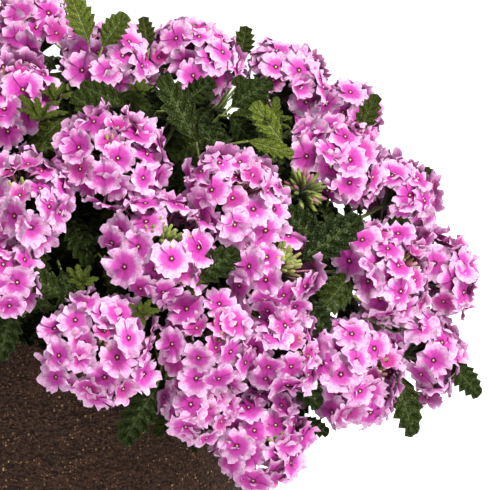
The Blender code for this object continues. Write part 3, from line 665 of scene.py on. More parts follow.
def make_core():
    """A dark shell of painted shade inside the plant: the dome times k = 0.69 (1 + waves of f and t), lifted
    by 7 mm.

    Its points are x = a k sin f cos t, y = b k sin f sin t and z = c k cos f over a flat floor.
    """
    rows, sides = 40, 96
    share = 0.69
    fall = np.linspace(math.pi / 2, 0.02, rows)[:, None]
    turn = np.linspace(0, FULL_TURN, sides, endpoint=False)[None]
    lumps = 0.05 * np.sin(9 * turn + 5 * np.sin(6 * fall)) * np.sin(fall)
    lumps = lumps + 0.04 * np.sin(17 * fall + 4 * turn)
    k = share * (1 + lumps)
    ring = k * np.sin(fall)
    shell = np.stack([ring * np.cos(turn), ring * np.sin(turn), k * np.cos(fall)], axis=-1)
    floor = DOME_MIDDLE + 7 * MM * UP
    shape = closed_shell(shell * DOME + floor, floor, floor + DOME[2] * share * UP)
    put_mesh("shaded_inside", shape, core_material())


# Shader node groups


class Recipe:
    """Short ways to add and link nodes in one tree."""

    def __init__(self, tree):
        self.tree = tree

    def add(self, kind, **values):
        """Adds a node and sets its plain properties."""
        node = self.tree.nodes.new(kind)
        for key, value in values.items():
            setattr(node, key, value)
        return node

    def link(self, source, target):
        """Links two sockets, or sets the target's value where the source is a number or a colour."""
        if isinstance(source, bpy.types.NodeSocket):
            self.tree.links.new(source, target)
        else:
            target.default_value = source

    def feed(self, node, **sources):
        """Links or sets a node's inputs by their names, and returns its outputs."""
        for label, source in sources.items():
            self.link(source, node.inputs[label])
        return node.outputs

    def maths(self, operation, *numbers):
        """A Math node's result."""
        node = self.add("ShaderNodeMath", operation=operation)
        for socket, number in zip(node.inputs, numbers):
            self.link(number, socket)
        return node.outputs[0]

    def plus(self, a, b):
        """The sum a + b."""
        return self.maths("ADD", a, b)

    def minus(self, a, b):
        """The difference a - b."""
        return self.maths("SUBTRACT", a, b)

    def times(self, a, b):
        """The product a b."""
        return self.maths("MULTIPLY", a, b)

    def off_middle(self, value):
        """How far value is from 0.5."""
        return self.maths("ABSOLUTE", self.minus(value, 0.5))

    def mix(self, factor, a, b):
        """A colour Mix node's result."""
        node = self.add("ShaderNodeMix", data_type="RGBA")
        for place, source in ((0, factor), (6, a), (7, b)):
            self.link(source, node.inputs[place])
        return node.outputs[2]

    def smooth(self, value, low, high, to_low=0.0, to_high=1.0):
        """Smooth step of value between low and high."""
        node = self.add("ShaderNodeMapRange", interpolation_type="SMOOTHSTEP")
        for socket, number in zip(node.inputs, (value, low, high, to_low, to_high)):
            self.link(number, socket)
        return node.outputs[0]

    def noise(self, scale, detail, roughness, vector):
        """A Noise node's value."""
        node = self.add("ShaderNodeTexNoise")
        return self.feed(node, Scale=scale, Detail=detail, Roughness=roughness, Vector=vector)[0]

    def cells(self, scale, vector, feature="F1"):
        """A Voronoi node's outputs."""
        return self.feed(self.add("ShaderNodeTexVoronoi", feature=feature), Scale=scale, Vector=vector)

    def stretched(self, vector, scale):
        """A vector with its axes scaled."""
        return self.feed(self.add("ShaderNodeMapping"), Vector=vector, Scale=scale)[0]

    def objects_own(self):
        """Object coordinates."""
        return self.add("ShaderNodeTexCoord").outputs["Object"]

    def surface_place(self):
        """The UV map, its u and its v."""
        uv = self.add("ShaderNodeUVMap", uv_map="UVMap").outputs[0]
        u, v, _ = self.feed(self.add("ShaderNodeSeparateXYZ"), Vector=uv)
        return uv, u, v

    def tone(self):
        """The three numbers of the colour attribute tone."""
        tone = self.add("ShaderNodeAttribute", attribute_name="tone").outputs["Color"]
        return self.feed(self.add("ShaderNodeSeparateColor"), Color=tone)


def new_group(name, inputs, outputs):
    """An empty node group, its recipe, and the sockets that bring values into it and take them out.

    inputs gives each input's default, a number or a colour. Of the outputs, Color is a colour and the
    others are numbers.
    """
    group = bpy.data.node_groups.new(name, "ShaderNodeTree")
    for label, default in inputs.items():
        kind = "NodeSocketColor" if isinstance(default, tuple) else "NodeSocketFloat"
        group.interface.new_socket(name=label, in_out="INPUT", socket_type=kind).default_value = default
    for label in outputs:
        kind = "NodeSocketColor" if label == "Color" else "NodeSocketFloat"
        group.interface.new_socket(name=label, in_out="OUTPUT", socket_type=kind)
    recipe = Recipe(group)
    return group, recipe, recipe.add("NodeGroupInput").outputs, recipe.add("NodeGroupOutput").inputs


def cloudy_variation(name):
    """Cloudy variation: a noise on object coordinates, eased between two levels."""
    group, r, into, out = new_group(name, {"Scale": 40.0, "Low": 0.35, "High": 0.65}, ["Mask"])
    cloud = r.noise(into["Scale"], 4.0, 0.5, r.objects_own())
    r.link(r.smooth(cloud, into["Low"], into["High"]), out["Mask"])
    return group


def petal_colours(name):
    """Petal colours: deep at the throat, clear in the blade, nearly white at the edge, with fine streaks."""
    inputs = {
        "Throat": (0.33, 0.015, 0.10, 1),
        "Blade": (0.74, 0.20, 0.55, 1),
        "Margin": (0.90, 0.62, 0.83, 1),
        "Young": (0.42, 0.03, 0.20, 1),
        "Underside": (0.48, 0.10, 0.37, 1),
    }
    group, r, into, out = new_group(name, inputs, ["Color", "Height"])
    _, u, v = r.surface_place()
    shade, under, youth = r.tone()
    across = r.off_middle(v)
    joined = r.add("ShaderNodeCombineXYZ")
    lines = r.feed(joined, X=r.times(v, 26.0), Y=r.times(u, 1.6), Z=r.times(shade, 40.0))
    streak = r.noise(1.0, 2.0, 0.5, lines[0])
    reach = r.plus(r.times(across, 0.34), r.times(streak, 0.22))
    toward_edge = r.plus(r.plus(u, reach), r.maths("MULTIPLY_ADD", shade, -0.34, 0.17))
    blade = r.mix(r.smooth(toward_edge, 0.13, 0.58), into["Throat"], into["Blade"])
    blade = r.mix(r.smooth(toward_edge, 0.56, 0.92), blade, into["Margin"])
    edge = r.smooth(r.plus(u, r.times(r.maths("POWER", across, 2.0), 0.5)), 0.84, 1.03)
    blade = r.mix(r.times(edge, 0.55), blade, (0.92, 0.74, 0.89, 1))
    mottle = r.noise(620.0, 2.0, 0.6, r.objects_own())
    blade = r.mix(r.smooth(mottle, 0.42, 0.66, 0.0, 0.5), blade, into["Blade"])
    veins = r.times(r.smooth(streak, 0.50, 0.64), r.smooth(u, 1.0, 0.35, 0.1, 0.5))
    blade = r.mix(veins, blade, into["Throat"])
    blade = r.mix(r.times(youth, r.smooth(u, 1.15, 0.2)), blade, into["Young"])
    dark_ring = r.times(r.smooth(u, 0.13, 0.04), 0.92)
    blade = r.mix(dark_ring, blade, (0.085, 0.006, 0.02, 1))
    back = r.mix(r.smooth(u, 0.1, 1.0), into["Underside"], into["Margin"])
    back = r.mix(0.55, back, into["Underside"])
    r.link(r.mix(under, blade, back), out["Color"])
    r.link(streak, out["Height"])
    return group


def leaf_veins(name):
    """Leaf colours and relief: a pale midrib, side veins that run to the teeth, and puckers between them;
    painted shade darkens the side-vein grooves and the seams between puckers, and painted highlights and
    glints lighten the pucker crowns.
    """
    inputs = {
        "Old": (0.020, 0.042, 0.012, 1),
        "Young": (0.36, 0.48, 0.06, 1),
        "Vein": (0.17, 0.22, 0.07, 1),
        "Underside": (0.14, 0.19, 0.09, 1),
        "Teeth": 6.0,
    }
    group, r, into, out = new_group(name, inputs, ["Color", "Height"])
    uv, u, v = r.surface_place()
    shade, under, youth = r.tone()
    across = r.times(r.off_middle(v), 2.0)
    along = r.times(r.minus(u, r.times(across, 0.17)), into["Teeth"])
    along = r.plus(along, r.times(r.noise(9.0, 2.0, 0.5, uv), 0.35))
    saw = r.off_middle(r.maths("FRACT", along))
    side = r.times(r.smooth(saw, 0.37, 0.48), r.smooth(across, 1.0, 0.55, 0.35, 1.0))
    rib = r.smooth(across, 0.11, 0.03)
    veins = r.maths("MAXIMUM", rib, r.times(side, 0.72))
    squeezed = r.stretched(uv, (1.0, 0.5, 1.0))
    net = r.smooth(r.cells(30.0, squeezed, "DISTANCE_TO_EDGE")["Distance"], 0.0, 0.3)
    base = r.mix(youth, into["Old"], into["Young"])
    base = r.mix(r.times(shade, 0.38), base, r.mix(0.5, base, (0.07, 0.10, 0.020, 1)))
    cloudy = r.smooth(r.noise(90.0, 3.0, 0.6, r.objects_own()), 0.35, 0.75, 0.0, 0.45)
    base = r.mix(cloudy, base, r.mix(0.5, base, (0.07, 0.09, 0.025, 1)))
    # Painted shade: darker along the seams between the puckered cells.
    base = r.mix(r.times(r.minus(1.0, net), 0.33), base, (0.003, 0.008, 0.002, 1))
    # Painted shade: the sunken grooves of the side veins are darker.
    groove_shade = r.mix(youth, (0.004, 0.010, 0.002, 1), (0.13, 0.20, 0.02, 1))
    base = r.mix(side, base, groove_shade)
    # Painted highlight: the crowns of the puckers between the side veins are lighter.
    ridge_highlight = r.times(r.smooth(saw, 0.40, 0.12), net)
    crown_highlight = r.mix(youth, (0.052, 0.090, 0.027, 1), (0.48, 0.60, 0.10, 1))
    base = r.mix(r.times(ridge_highlight, 0.7), base, crown_highlight)
    # Painted glints: pale flecks on the lit crowns.
    fleck_glints = r.times(r.smooth(r.noise(75.0, 2.0, 0.6, squeezed), 0.5, 0.66), ridge_highlight)
    base = r.mix(r.times(fleck_glints, 0.5), base, (0.15, 0.20, 0.09, 1))
    pale = r.maths("MAXIMUM", r.times(rib, 0.75), r.times(side, 0.12))
    base = r.mix(pale, base, r.mix(youth, into["Vein"], (0.50, 0.58, 0.18, 1)))
    base = r.mix(r.smooth(across, 0.86, 1.0, 0.0, 0.3), base, (0.14, 0.14, 0.07, 1))
    down = r.smooth(r.noise(1400.0, 1.0, 0.5, r.objects_own()), 0.62, 0.72, 0.0, 0.16)
    base = r.mix(down, base, (0.36, 0.38, 0.24, 1))
    r.link(r.mix(r.times(under, 0.85), base, into["Underside"]), out["Color"])
    r.link(r.plus(r.minus(r.times(net, 0.6), veins), r.times(saw, -0.6)), out["Height"])
    return group


def speckled_stoneware(name):
    """The planter's surface: golden specks and pits, and short dark streaks that lie level round the wall."""
    inputs = {
        "Body": (0.042, 0.022, 0.015, 1),
        "Dark": (0.018, 0.010, 0.008, 1),
        "Speck": (0.36, 0.24, 0.11, 1),
        "Amount": 1.0,
    }
    group, r, into, out = new_group(name, inputs, ["Color", "Height", "Rough"])
    place = r.objects_own()
    streaks = r.smooth(r.noise(300.0, 3.0, 0.65, r.stretched(place, (1.0, 1.0, 3.2))), 0.53, 0.62)
    broad = r.smooth(r.noise(26.0, 3.0, 0.6, place), 0.3, 0.7)
    body = r.mix(r.times(streaks, 0.85), into["Body"], into["Dark"])
    body = r.mix(r.times(broad, 0.35), body, r.mix(0.5, body, (0.105, 0.062, 0.042, 1)))
    grain = r.noise(800.0, 3.0, 0.75, place)
    body = r.mix(r.smooth(grain, 0.52, 0.38, 0.0, 1.0), body, r.mix(0.8, body, (0.004, 0.003, 0.003, 1)))
    body = r.mix(r.smooth(grain, 0.56, 0.70, 0.0, 0.6), body, (0.19, 0.10, 0.055, 1))
    specks = r.cells(760.0, place)
    chance, gleam, rust = r.feed(r.add("ShaderNodeSeparateColor"), Color=specks["Color"])
    patchy = r.smooth(r.noise(60.0, 2.0, 0.5, place), 0.35, 0.65, 0.6, 1.0)
    chosen = r.times(r.smooth(chance, 0.84, 0.94), patchy)
    dot = r.smooth(specks["Distance"], 0.55, 0.25)
    fine = r.times(r.smooth(r.noise(700.0, 2.0, 0.7, place), 0.62, 0.74), 0.55)
    speck = r.maths("MAXIMUM", *(r.times(mask, into["Amount"]) for mask in (r.times(chosen, dot), fine)))
    bright = r.mix(r.smooth(gleam, 0.3, 1.0), into["Speck"], (0.95, 0.62, 0.28, 1))
    body = r.mix(speck, body, r.mix(r.smooth(rust, 0.7, 0.8), bright, (0.30, 0.12, 0.06, 1)))
    r.link(body, out["Color"])
    pits = r.minus(r.times(speck, 0.6), r.times(streaks, 0.8))
    r.link(r.plus(pits, r.noise(500.0, 3.0, 0.6, place)), out["Height"])
    r.link(r.smooth(broad, 0.0, 1.0, 0.66, 0.85), out["Rough"])
    return group


def peat_crumbs(name):
    """Soil: dark crumbs of several sizes, with a few pale fibres and grains."""
    inputs = {"Peat": (0.020, 0.012, 0.008, 1), "Fibre": (0.11, 0.065, 0.035, 1)}
    group, r, into, out = new_group(name, inputs, ["Color", "Height"])
    place = r.objects_own()
    noise = r.noise(420.0, 4.0, 0.65, place)
    fibre = r.smooth(r.noise(310.0, 2.0, 0.5, r.stretched(place, (1.0, 3.5, 1.0))), 0.62, 0.70)
    colour = r.mix(r.times(noise, 0.7), into["Peat"], (0.055, 0.034, 0.022, 1))
    r.link(r.mix(r.times(fibre, 0.7), colour, into["Fibre"]), out["Color"])
    r.link(r.minus(noise, r.cells(260.0, place)["Distance"]), out["Height"])
    return group


def use_group(recipe, build, **values):
    """Places a node group in a tree, sets its inputs and returns its outputs.

    The group is built on its first use, under the name of its function. A colour gets an alpha of one.
    """
    name = build.__name__.replace("_", " ")
    node = recipe.add("ShaderNodeGroup")
    node.node_tree = bpy.data.node_groups.get(name) or build(name)
    for label, value in values.items():
        node.inputs[label].default_value = value if isinstance(value, float) else (*value, 1.0)
    return node.outputs


# Materials


def new_material(name, roughness, specular=0.5, sheen=0.0):
    """A Principled material with its plain values set, its recipe and its shader."""
    material = bpy.data.materials.new(name)
    material.use_nodes = True
    shader = material.node_tree.nodes["Principled BSDF"]
    shader.inputs["Roughness"].default_value = roughness
    shader.inputs["Specular IOR Level"].default_value = specular
    shader.inputs["Sheen Weight"].default_value = sheen
    return material, Recipe(material.node_tree), shader


def cover(recipe, shader, colour, height, strength, distance):
    """Leads a colour into a shader's Base Color and a height, through a Bump node, into its Normal."""
    recipe.link(colour, shader.inputs["Base Color"])
    bump = recipe.feed(recipe.add("ShaderNodeBump"), Height=height, Strength=strength, Distance=distance)
    recipe.link(bump[0], shader.inputs["Normal"])


def petal_material(settings):
    """The florets' finish: soft and matt."""
    material, r, shader = new_material("petal_pink", 0.7, 0.12)
    throat, blade, margin = settings.throat_colour, settings.petal_colour, settings.margin_colour
    surface = use_group(r, petal_colours, Throat=throat, Blade=blade, Margin=margin)
    cover(r, shader, surface["Color"], surface["Height"], 0.35, 0.0004)
    return material


def leaf_material(settings):
    """The leaves' finish: matt, puckered, faintly downy."""
    material, r, shader = new_material("leaf_green", 0.40, 0.22)
    shader.inputs["Specular Tint"].default_value = (0.85, 0.95, 0.55, 1)
    surface = use_group(r, leaf_veins, Old=settings.leaf_colour, Vein=settings.vein_colour)
    cover(r, shader, surface["Color"], surface["Height"], 1.0, 0.003)
    return material


def core_material():
    """Painted shade inside the plant: very dark green with cloudy patches, standing in for the shade deep
    among the leaves.
    """
    material, r, shader = new_material("painted_shade_foliage", 0.8, 0.1)
    cloud = use_group(r, cloudy_variation, Scale=70.0, Low=0.35, High=0.7)
    # The near-black green is painted shade, not the leaves' own colour.
    colour = r.mix(cloud["Mask"], (0.008, 0.014, 0.004, 1), (0.022, 0.036, 0.010, 1))
    cover(r, shader, colour, r.noise(240.0, 3.0, 0.6, r.objects_own()), 1.0, 0.002)
    return material


def stem_material():
    """Stems: pale green with cloudy brown."""
    material, r, shader = new_material("stem_green", 0.55, sheen=0.2)
    cloud = use_group(r, cloudy_variation, Scale=130.0, Low=0.35, High=0.7)
    green = r.mix(r.tone()[0], (0.10, 0.15, 0.035, 1), (0.30, 0.36, 0.11, 1))
    colour = r.mix(r.times(cloud["Mask"], 0.55), green, (0.13, 0.075, 0.045, 1))
    cover(r, shader, colour, r.noise(900.0, 2.0, 0.6, r.objects_own()), 0.3, 0.0003)
    return material


def bud_material():
    """Tubes and buds: green, darkened at the foot by painted shade deep in the head, through olive, to pink
    or deep red at the tip, as the tone says.
    """
    material, r, shader = new_material("bud_green", 0.55, sheen=0.15)
    _, _, v = r.surface_place()
    shade, flush, eye = r.tone()
    green = r.mix(shade, (0.12, 0.18, 0.02, 1), (0.36, 0.44, 0.07, 1))
    # Painted shade: darker green towards the foot, where tubes and buds sit deep in the head.
    green = r.mix(r.smooth(v, 0.55, 0.92), (0.035, 0.06, 0.010, 1), green)
    tip = r.mix(shade, (0.34, 0.05, 0.12, 1), (0.62, 0.22, 0.38, 1))
    colour = r.mix(r.times(r.smooth(v, 0.35, 0.9), flush), green, tip)
    cloud = use_group(r, cloudy_variation, Scale=420.0, Low=0.4, High=0.75)
    colour = r.mix(r.times(cloud["Mask"], 0.35), colour, (0.16, 0.09, 0.045, 1))
    colour = r.mix(r.times(eye, r.smooth(v, 0.93, 0.99)), colour, (0.66, 0.60, 0.34, 1))
    cover(r, shader, colour, r.noise(1200.0, 2.0, 0.6, r.objects_own()), 0.25, 0.0003)
    return material


def planter_material(settings):
    """The planter's wall."""
    material, r, shader = new_material("pot_brown_stoneware", 0.75, 0.2)
    surface = use_group(r, speckled_stoneware, Body=settings.pot_colour, Speck=settings.speck_colour)
    cover(r, shader, surface["Color"], surface["Height"], 1.0, 0.0012)
    r.link(surface["Rough"], shader.inputs["Roughness"])
    return material


def lip_material(settings):
    """The planter's lip: the same stoneware, smoother and with few specks."""
    material, r, shader = new_material("pot_lip", 0.5)
    body = (0.075, 0.048, 0.036)
    surface = use_group(r, speckled_stoneware, Body=body, Speck=settings.speck_colour, Amount=0.15)
    cover(r, shader, surface["Color"], surface["Height"], 0.15, 0.0004)
    return material


def soil_material(settings):
    """The soil."""
    material, r, shader = new_material("soil_dark_peat", 0.95)
    surface = use_group(r, peat_crumbs, Peat=settings.soil_colour)
    cover(r, shader, surface["Color"], surface["Height"], 1.0, 0.0012)
    return material


# Planter and soil

POT_SIDES = 160
SOIL_SIDES = 128
SEAM = 0.6 * MM


def turned_piece(name, profile, sides, material, node, ripple):
    """A profile of (radius, height) turned about Z: (r cos s, r sin s, h). Both ends lie on the axis.

    ripple takes the radii, the heights and the turns s, and gives the radii and heights to use.
    """
    profile = np.array(profile, float)
    turn = np.linspace(0, FULL_TURN, sides, endpoint=False)
    radius, height = ripple(*(np.repeat(column[:, None], sides, axis=1) for column in profile[1:-1].T), turn)
    shell = np.stack([radius * np.cos(turn), radius * np.sin(turn), height], axis=-1)
    shape = closed_shell(shell, profile[0, 1] * UP, profile[-1, 1] * UP)
    put_mesh(name, shape, material, (node,))


def round_corner(corner, before, after, radius):
    """Points of a quadratic curve that rounds a profile's corner, between its neighbours before and after."""
    corner, before, after = (np.array(p, float) for p in (corner, before, after))
    start, end = (corner + unit(side - corner) * radius for side in (before, after))
    return curves(start[None], corner[None], end[None], 5)[0]


def ring_piece(name, corners, radius, material):
    """A closed profile carried round Z, with its corners rounded: a ring."""
    neighbours = zip(corners, corners[-1:] + corners[:-1], corners[1:] + corners[:1])
    loop = np.concatenate([round_corner(*three, radius) for three in neighbours])
    turn = np.linspace(0, FULL_TURN, POT_SIDES, endpoint=False)
    across, height = loop[:, :1], loop[:, 1:]
    shell = np.stack(np.broadcast_arrays(across * np.cos(turn), across * np.sin(turn), height), axis=-1)
    grid = np.arange(len(loop) * POT_SIDES).reshape(len(loop), POT_SIDES)
    after, over = np.roll(grid, -1, axis=1), np.roll(grid, -1, axis=0)
    faces = np.stack([grid, after, np.roll(over, -1, axis=1), over], axis=-1).reshape(-1, 4)
    uv = shell_uv(len(loop), POT_SIDES)[:-2]
    tone = np.full((grid.size, 3), 0.5)
    put_mesh(name, (shell.reshape(-1, 3), faces, uv, tone, np.zeros(grid.size, bool)), material)


def wall_radius(height):
    """The planter's outer radius at a height."""
    return POT_FOOT_RADIUS + (POT_RIM_RADIUS - POT_FOOT_RADIUS) * height / POT_HEIGHT


def make_planter(settings):
    """The wall with its floor, and the lip that sits on top of it as a narrow smooth band."""
    low = POT_HEIGHT - settings.lip_height
    inner = POT_RIM_RADIUS - POT_WALL
    corners = [
        (0, 0),
        (POT_FOOT_RADIUS, 0),
        (wall_radius(low) - 0.5 * MM, low - SEAM),
        (inner + 2 * MM, low - SEAM),
        (wall_radius(POT_FLOOR) - POT_WALL, POT_FLOOR),
        (0, POT_FLOOR),
    ]
    profile = []
    for start, end in zip(corners, corners[1:]):
        steps = 14 if start[0] and end[0] else 1
        profile += [np.array(start) + np.subtract(end, start) * k / steps for k in range(steps)]
    profile.append(corners[-1])

    def ripple(radius, height, turn):
        """Hand-made unevenness: r grows by 0.2 mm times half the sum of two slow waves."""
        waves = np.sin(3 * turn + 1.0) * 0.5 + np.sin(7 * turn + height * 60) * 0.5
        return radius + 0.2 * MM * waves, height

    turned_piece("planter_wall", profile, POT_SIDES, planter_material(settings), "pot", ripple)
    lip = [(inner, low), (wall_radius(low), low), (POT_RIM_RADIUS, POT_HEIGHT), (inner, POT_HEIGHT)]
    ring_piece("planter_lip", lip, 1.2 * MM, lip_material(settings))


def make_soil(settings):
    """The soil's plug: its top is a low mound, roughened by sums of waves in x and y."""
    edge = wall_radius(SOIL_TOP) - POT_WALL - SEAM
    foot = POT_FLOOR + 0.4 * MM
    profile = [(0, foot), (wall_radius(POT_FLOOR) - POT_WALL - 0.8 * MM, foot)]
    profile.append((edge * 0.9999, SOIL_TOP - 3 * MM))
    for share in np.linspace(0.995, 0.02, 46):
        mound = SOIL_CROWN * np.clip((1 - share) * 2, 0, 1) ** 0.8
        profile.append((edge * share, SOIL_TOP + mound - 1.5 * MM * (share > 0.99)))
    profile.append((0, SOIL_TOP + SOIL_CROWN))

    def ripple(radius, height, turn):
        """Crumbs: sums of waves of several lengths, up to a millimetre high, on the top alone."""
        x, y = radius * np.cos(turn), radius * np.sin(turn)
        rough = np.zeros_like(x)
        for size, lift, angle in ((9, 0.45, 0.3), (5.3, 0.35, 1.7), (3.1, 0.28, 2.9), (2.2, 0.2, 0.9)):
            k = FULL_TURN / (size * MM)
            crest = np.sin(k * (x * math.cos(angle) + y * math.sin(angle)) + 3 * np.sin(k * 0.31 * y))
            rough += lift * crest * np.cos(k * 0.8 * y + angle)
        top = height > SOIL_TOP - 2 * MM
        return radius, height + np.where(top, rough * 0.7 * MM, 0.0)

    turned_piece("soil_top", profile, SOIL_SIDES, soil_material(settings), "soil", ripple)


# Stems, tubes and buds

SHOOT_TURNS = FULL_TURN * (np.arange(SHOOTS) + 0.5) / SHOOTS
STEM_RADII = (2.3, 1.3)
STALK_RADII = (1.2, 0.95)

# Radii along a floret's tube in its calyx, along a closed bud, and along a bud of the head that is all buds
TUBE_RADII = np.array([0.75, 1.0, 1.0, 0.6, 0.55, 0.62]) * MM
CLOSED_RADII = np.array([0.6, 0.7, 0.7, 0.8, 1.25, 0.7]) * MM
CLUB_RADII = np.array([0.45, 0.55, 0.65, 0.85, 1.05, 0.6]) * MM
CLUBS = 46


def shoot_line(azimuth):
    """A shoot's middle line: up out of the soil, then a quadratic arch over the rim."""
    out = np.array([math.cos(azimuth), math.sin(azimuth), 0.0]) * MM
    root, collar = (out * 34 + UP * (SOIL_TOP + rise * MM) for rise in (-8, 7))
    bend, end = (out * reach + UP * (POT_HEIGHT + rise * MM) for reach, rise in ((44, 78), (122, 18)))
    return np.concatenate([[root], curves(collar[None], bend[None], end[None], 12)[0]])


def lay_out_stalks(heads):
    """For each head its shoot's number and its stalk's start, control and end.

    A stalk leaves the point of its shoot that is nearest, counted with 4 mm for each step along it, and
    reaches the head along the head's own axis.
    """
    centres, axes, radii = columns(heads, "centre", "axis", "radius")
    turn = np.arctan2(centres[:, 1], centres[:, 0])
    off = (turn[:, None] - SHOOT_TURNS + math.pi) % FULL_TURN - math.pi
    owner = np.abs(off).argmin(axis=1)
    end = centres - axes * radii[:, None] * 0.35
    line = np.array([shoot_line(azimuth)[3:11] for azimuth in SHOOT_TURNS])[owner]
    far = np.linalg.norm(line - end[:, None], axis=-1) + np.arange(line.shape[1]) * 4 * MM
    start = line[np.arange(len(heads)), far.argmin(axis=1)]
    control = end - axes * 0.5 * np.linalg.norm(end - start, axis=-1, keepdims=True)
    return owner, start, control, end


def make_stems(heads):
    """Each shoot as a tapering tube, with the stalks of its heads as thinner ones, in one piece."""
    owner, *stalk = lay_out_stalks(heads)
    material = stem_material()
    rng = np.random.default_rng(SEED + 5)
    for k, azimuth in enumerate(SHOOT_TURNS):
        line = shoot_line(azimuth)
        stalks = curves(*(x[owner == k] for x in stalk), 9)
        shade = np.repeat(rng.uniform(0.2, 1.0, (len(stalks), 1)), 3, axis=1)
        stem = tubes(line[None], np.linspace(*STEM_RADII, len(line)) * MM, 8, np.full((1, 3), 0.2))
        thin = tubes(stalks, np.linspace(*STALK_RADII, 9) * MM, 6, shade)
        put_mesh(f"stems_{k + 1}", join_shapes([stem, thin]), material)


def bud_paths(base, place, normal, lean):
    """Paths from a head's base to a place, leaving along lean and arriving along the normal."""
    gap = np.linalg.norm(place - base, axis=-1, keepdims=True)
    control = (place - normal * gap * 0.45) * 0.6 + (base + lean * gap * 0.5) * 0.4
    return curves(np.broadcast_to(base, place.shape), control, place, 6)


def tube_tone(shade, flush, eye):
    """Each tube's tone: how pale it is, how far its tip flushes pink, and whether it has a cream eye."""
    return np.stack(np.broadcast_arrays(shade, flush, eye), axis=-1)


def make_tubes(head, florets, rng, material):
    """Below each floret, its slender tube in a calyx; in the head's middle, a cluster of closed buds."""
    places, normals = florets
    number, centre, axis = head["number"], head["centre"], head["axis"]
    tufted = number in TUFTED
    base = centre - axis * head["radius"] * 0.38
    starts = base + rng.normal(0, 1.0 * MM, places.shape)
    lines = bud_paths(starts, places + normals * 0.15 * MM, normals, axis)
    count = 44 if tufted else 7
    way = unit(axis + rng.normal(0, 0.30 if tufted else 0.22, (count, 3)))
    way = unit(way + unit(axis if tufted else places[0] - centre) * 0.25)
    tops = centre + way * head["radius"] * HEAD_DEPTH * rng.uniform(0.80, 1.0, (count, 1))
    shades = rng.uniform(0, 0.7, len(places)), rng.uniform(0, 1, count)
    flush = rng.uniform(0, 0.9, count) * (0.25 if tufted else 1.0)
    tubes_below = tubes(lines, TUBE_RADII, 4, tube_tone(shades[0], 1.0, 1.0))
    buds = tubes(bud_paths(base, tops, way, axis), CLOSED_RADII, 6, tube_tone(shades[1], flush, 0.0))
    shape = join_shapes([tubes_below, buds])
    nodes = (f"bud_tuft_{number:02d}",) if tufted else ()
    put_mesh(f"tubes_and_buds_{number:02d}", shape, material, nodes)


def make_bud_head(rng, material):
    """The head that is all buds: club-shaped buds on a golden spiral over a small dome."""
    across, up, radius = (size * MM for size in BUD_HEAD)
    centre = (dome_point(across, up) - DOME_MIDDLE) * 0.97 + DOME_MIDDLE
    axis = outward(centre)
    order = np.arange(CLUBS)
    way = spiral_about(axis, 1 - 1.25 * (order + 0.4) / CLUBS, order * GOLDEN_TURN)
    way = unit(way + rng.normal(0, 0.12, (CLUBS, 3)))
    tops = centre + way * radius * rng.uniform(0.8, 1.15, (CLUBS, 1))
    shade = rng.uniform(0, 1, CLUBS)
    flush = (rng.uniform(0, 1, CLUBS) > 0.84) * 0.9
    paths = bud_paths(centre - axis * radius * 0.5, tops, way, axis)
    put_mesh("bud_head", tubes(paths, CLUB_RADII, 7, tube_tone(shade, flush, 0.0)), material)


# Settings, operators and panel


def length(name, description, default):
    """A length that a user may change."""
    return bpy.props.FloatProperty(name=name, description=description, default=default, unit="LENGTH")


def factor(name, description, default):
    """A share that a user may change."""
    return bpy.props.FloatProperty(name=name, description=description, default=default, subtype="FACTOR")


def colour(name, description, default):
    """A colour that a user may change."""
    return bpy.props.FloatVectorProperty(name=name, description=description, default=default, subtype="COLOR")


class VerbenaFlowers(bpy.types.PropertyGroup):
    """Sizes and colours of the flower heads."""

    floret_radius: length("Floret radius", "From a floret's throat to a petal's edge", 10.8 * MM)
    florets_each: bpy.props.IntProperty(
        name="Florets in a head", description="Florets that a head of full size carries", default=31
    )
    petal_thickness: length("Petal thickness", "Thickness of a petal's blade", 0.22 * MM)
    notch: factor("Notch", "Depth of a petal's notch as a share of its length", 0.18)
    ruffle: factor("Ruffle", "Height of the waves at a petal's edge, in radii", 0.12)
    petal_colour: colour("Petal", "Colour of a petal's blade", (0.60, 0.085, 0.44))
    margin_colour: colour("Margin", "Colour towards a petal's edge", (0.84, 0.54, 0.78))
    throat_colour: colour("Throat", "Colour round a floret's throat", (0.40, 0.012, 0.25))


class VerbenaLeaves(bpy.types.PropertyGroup):
    """Sizes and colours of the leaves."""

    leaf_length: length("Leaf length", "Length of a full-grown leaf", 33 * MM)
    leaf_thickness: length("Leaf thickness", "Thickness of a leaf's blade", 0.45 * MM)
    leaf_density: factor("Leaf density", "How many leaves grow, against the usual number", 1.0)
    leaf_colour: colour("Leaf", "Colour of an old leaf", (0.011, 0.026, 0.006))
    vein_colour: colour("Veins", "Colour of a leaf's veins", (0.12, 0.18, 0.04))


class VerbenaPlanter(bpy.types.PropertyGroup):
    """Sizes and colours of the planter and its soil."""

    lip_height: length("Lip height", "Height of the smooth band round the rim", 3.2 * MM)
    pot_colour: colour("Planter", "Colour of the stoneware", (0.070, 0.034, 0.021))
    speck_colour: colour("Specks", "Colour of its specks", (0.48, 0.26, 0.11))
    soil_colour: colour("Soil", "Colour of the peat", (0.020, 0.012, 0.008))


class VerbenaStage(bpy.types.PropertyGroup):
    """The floor, the light and the camera."""

    camera_distance: length("Camera distance", "From the camera to the front of the plant", 2.36)
    lens: bpy.props.FloatProperty(name="Lens", description="Focal length in millimetres", default=350.0)
    ambient: factor("Ambient", "Strength of the light that comes from all round", 0.35)
    floor_colour: colour("Floor", "Colour of the floor", (0.93, 0.93, 0.93))


class VERBENA_OT_planter(bpy.types.Operator):
    """Builds the planter with its lip"""

    bl_idname = "verbena.planter"
    bl_label = "Planter"

    def execute(self, context):
        make_planter(context.scene.verbena_planter)
        return {"FINISHED"}


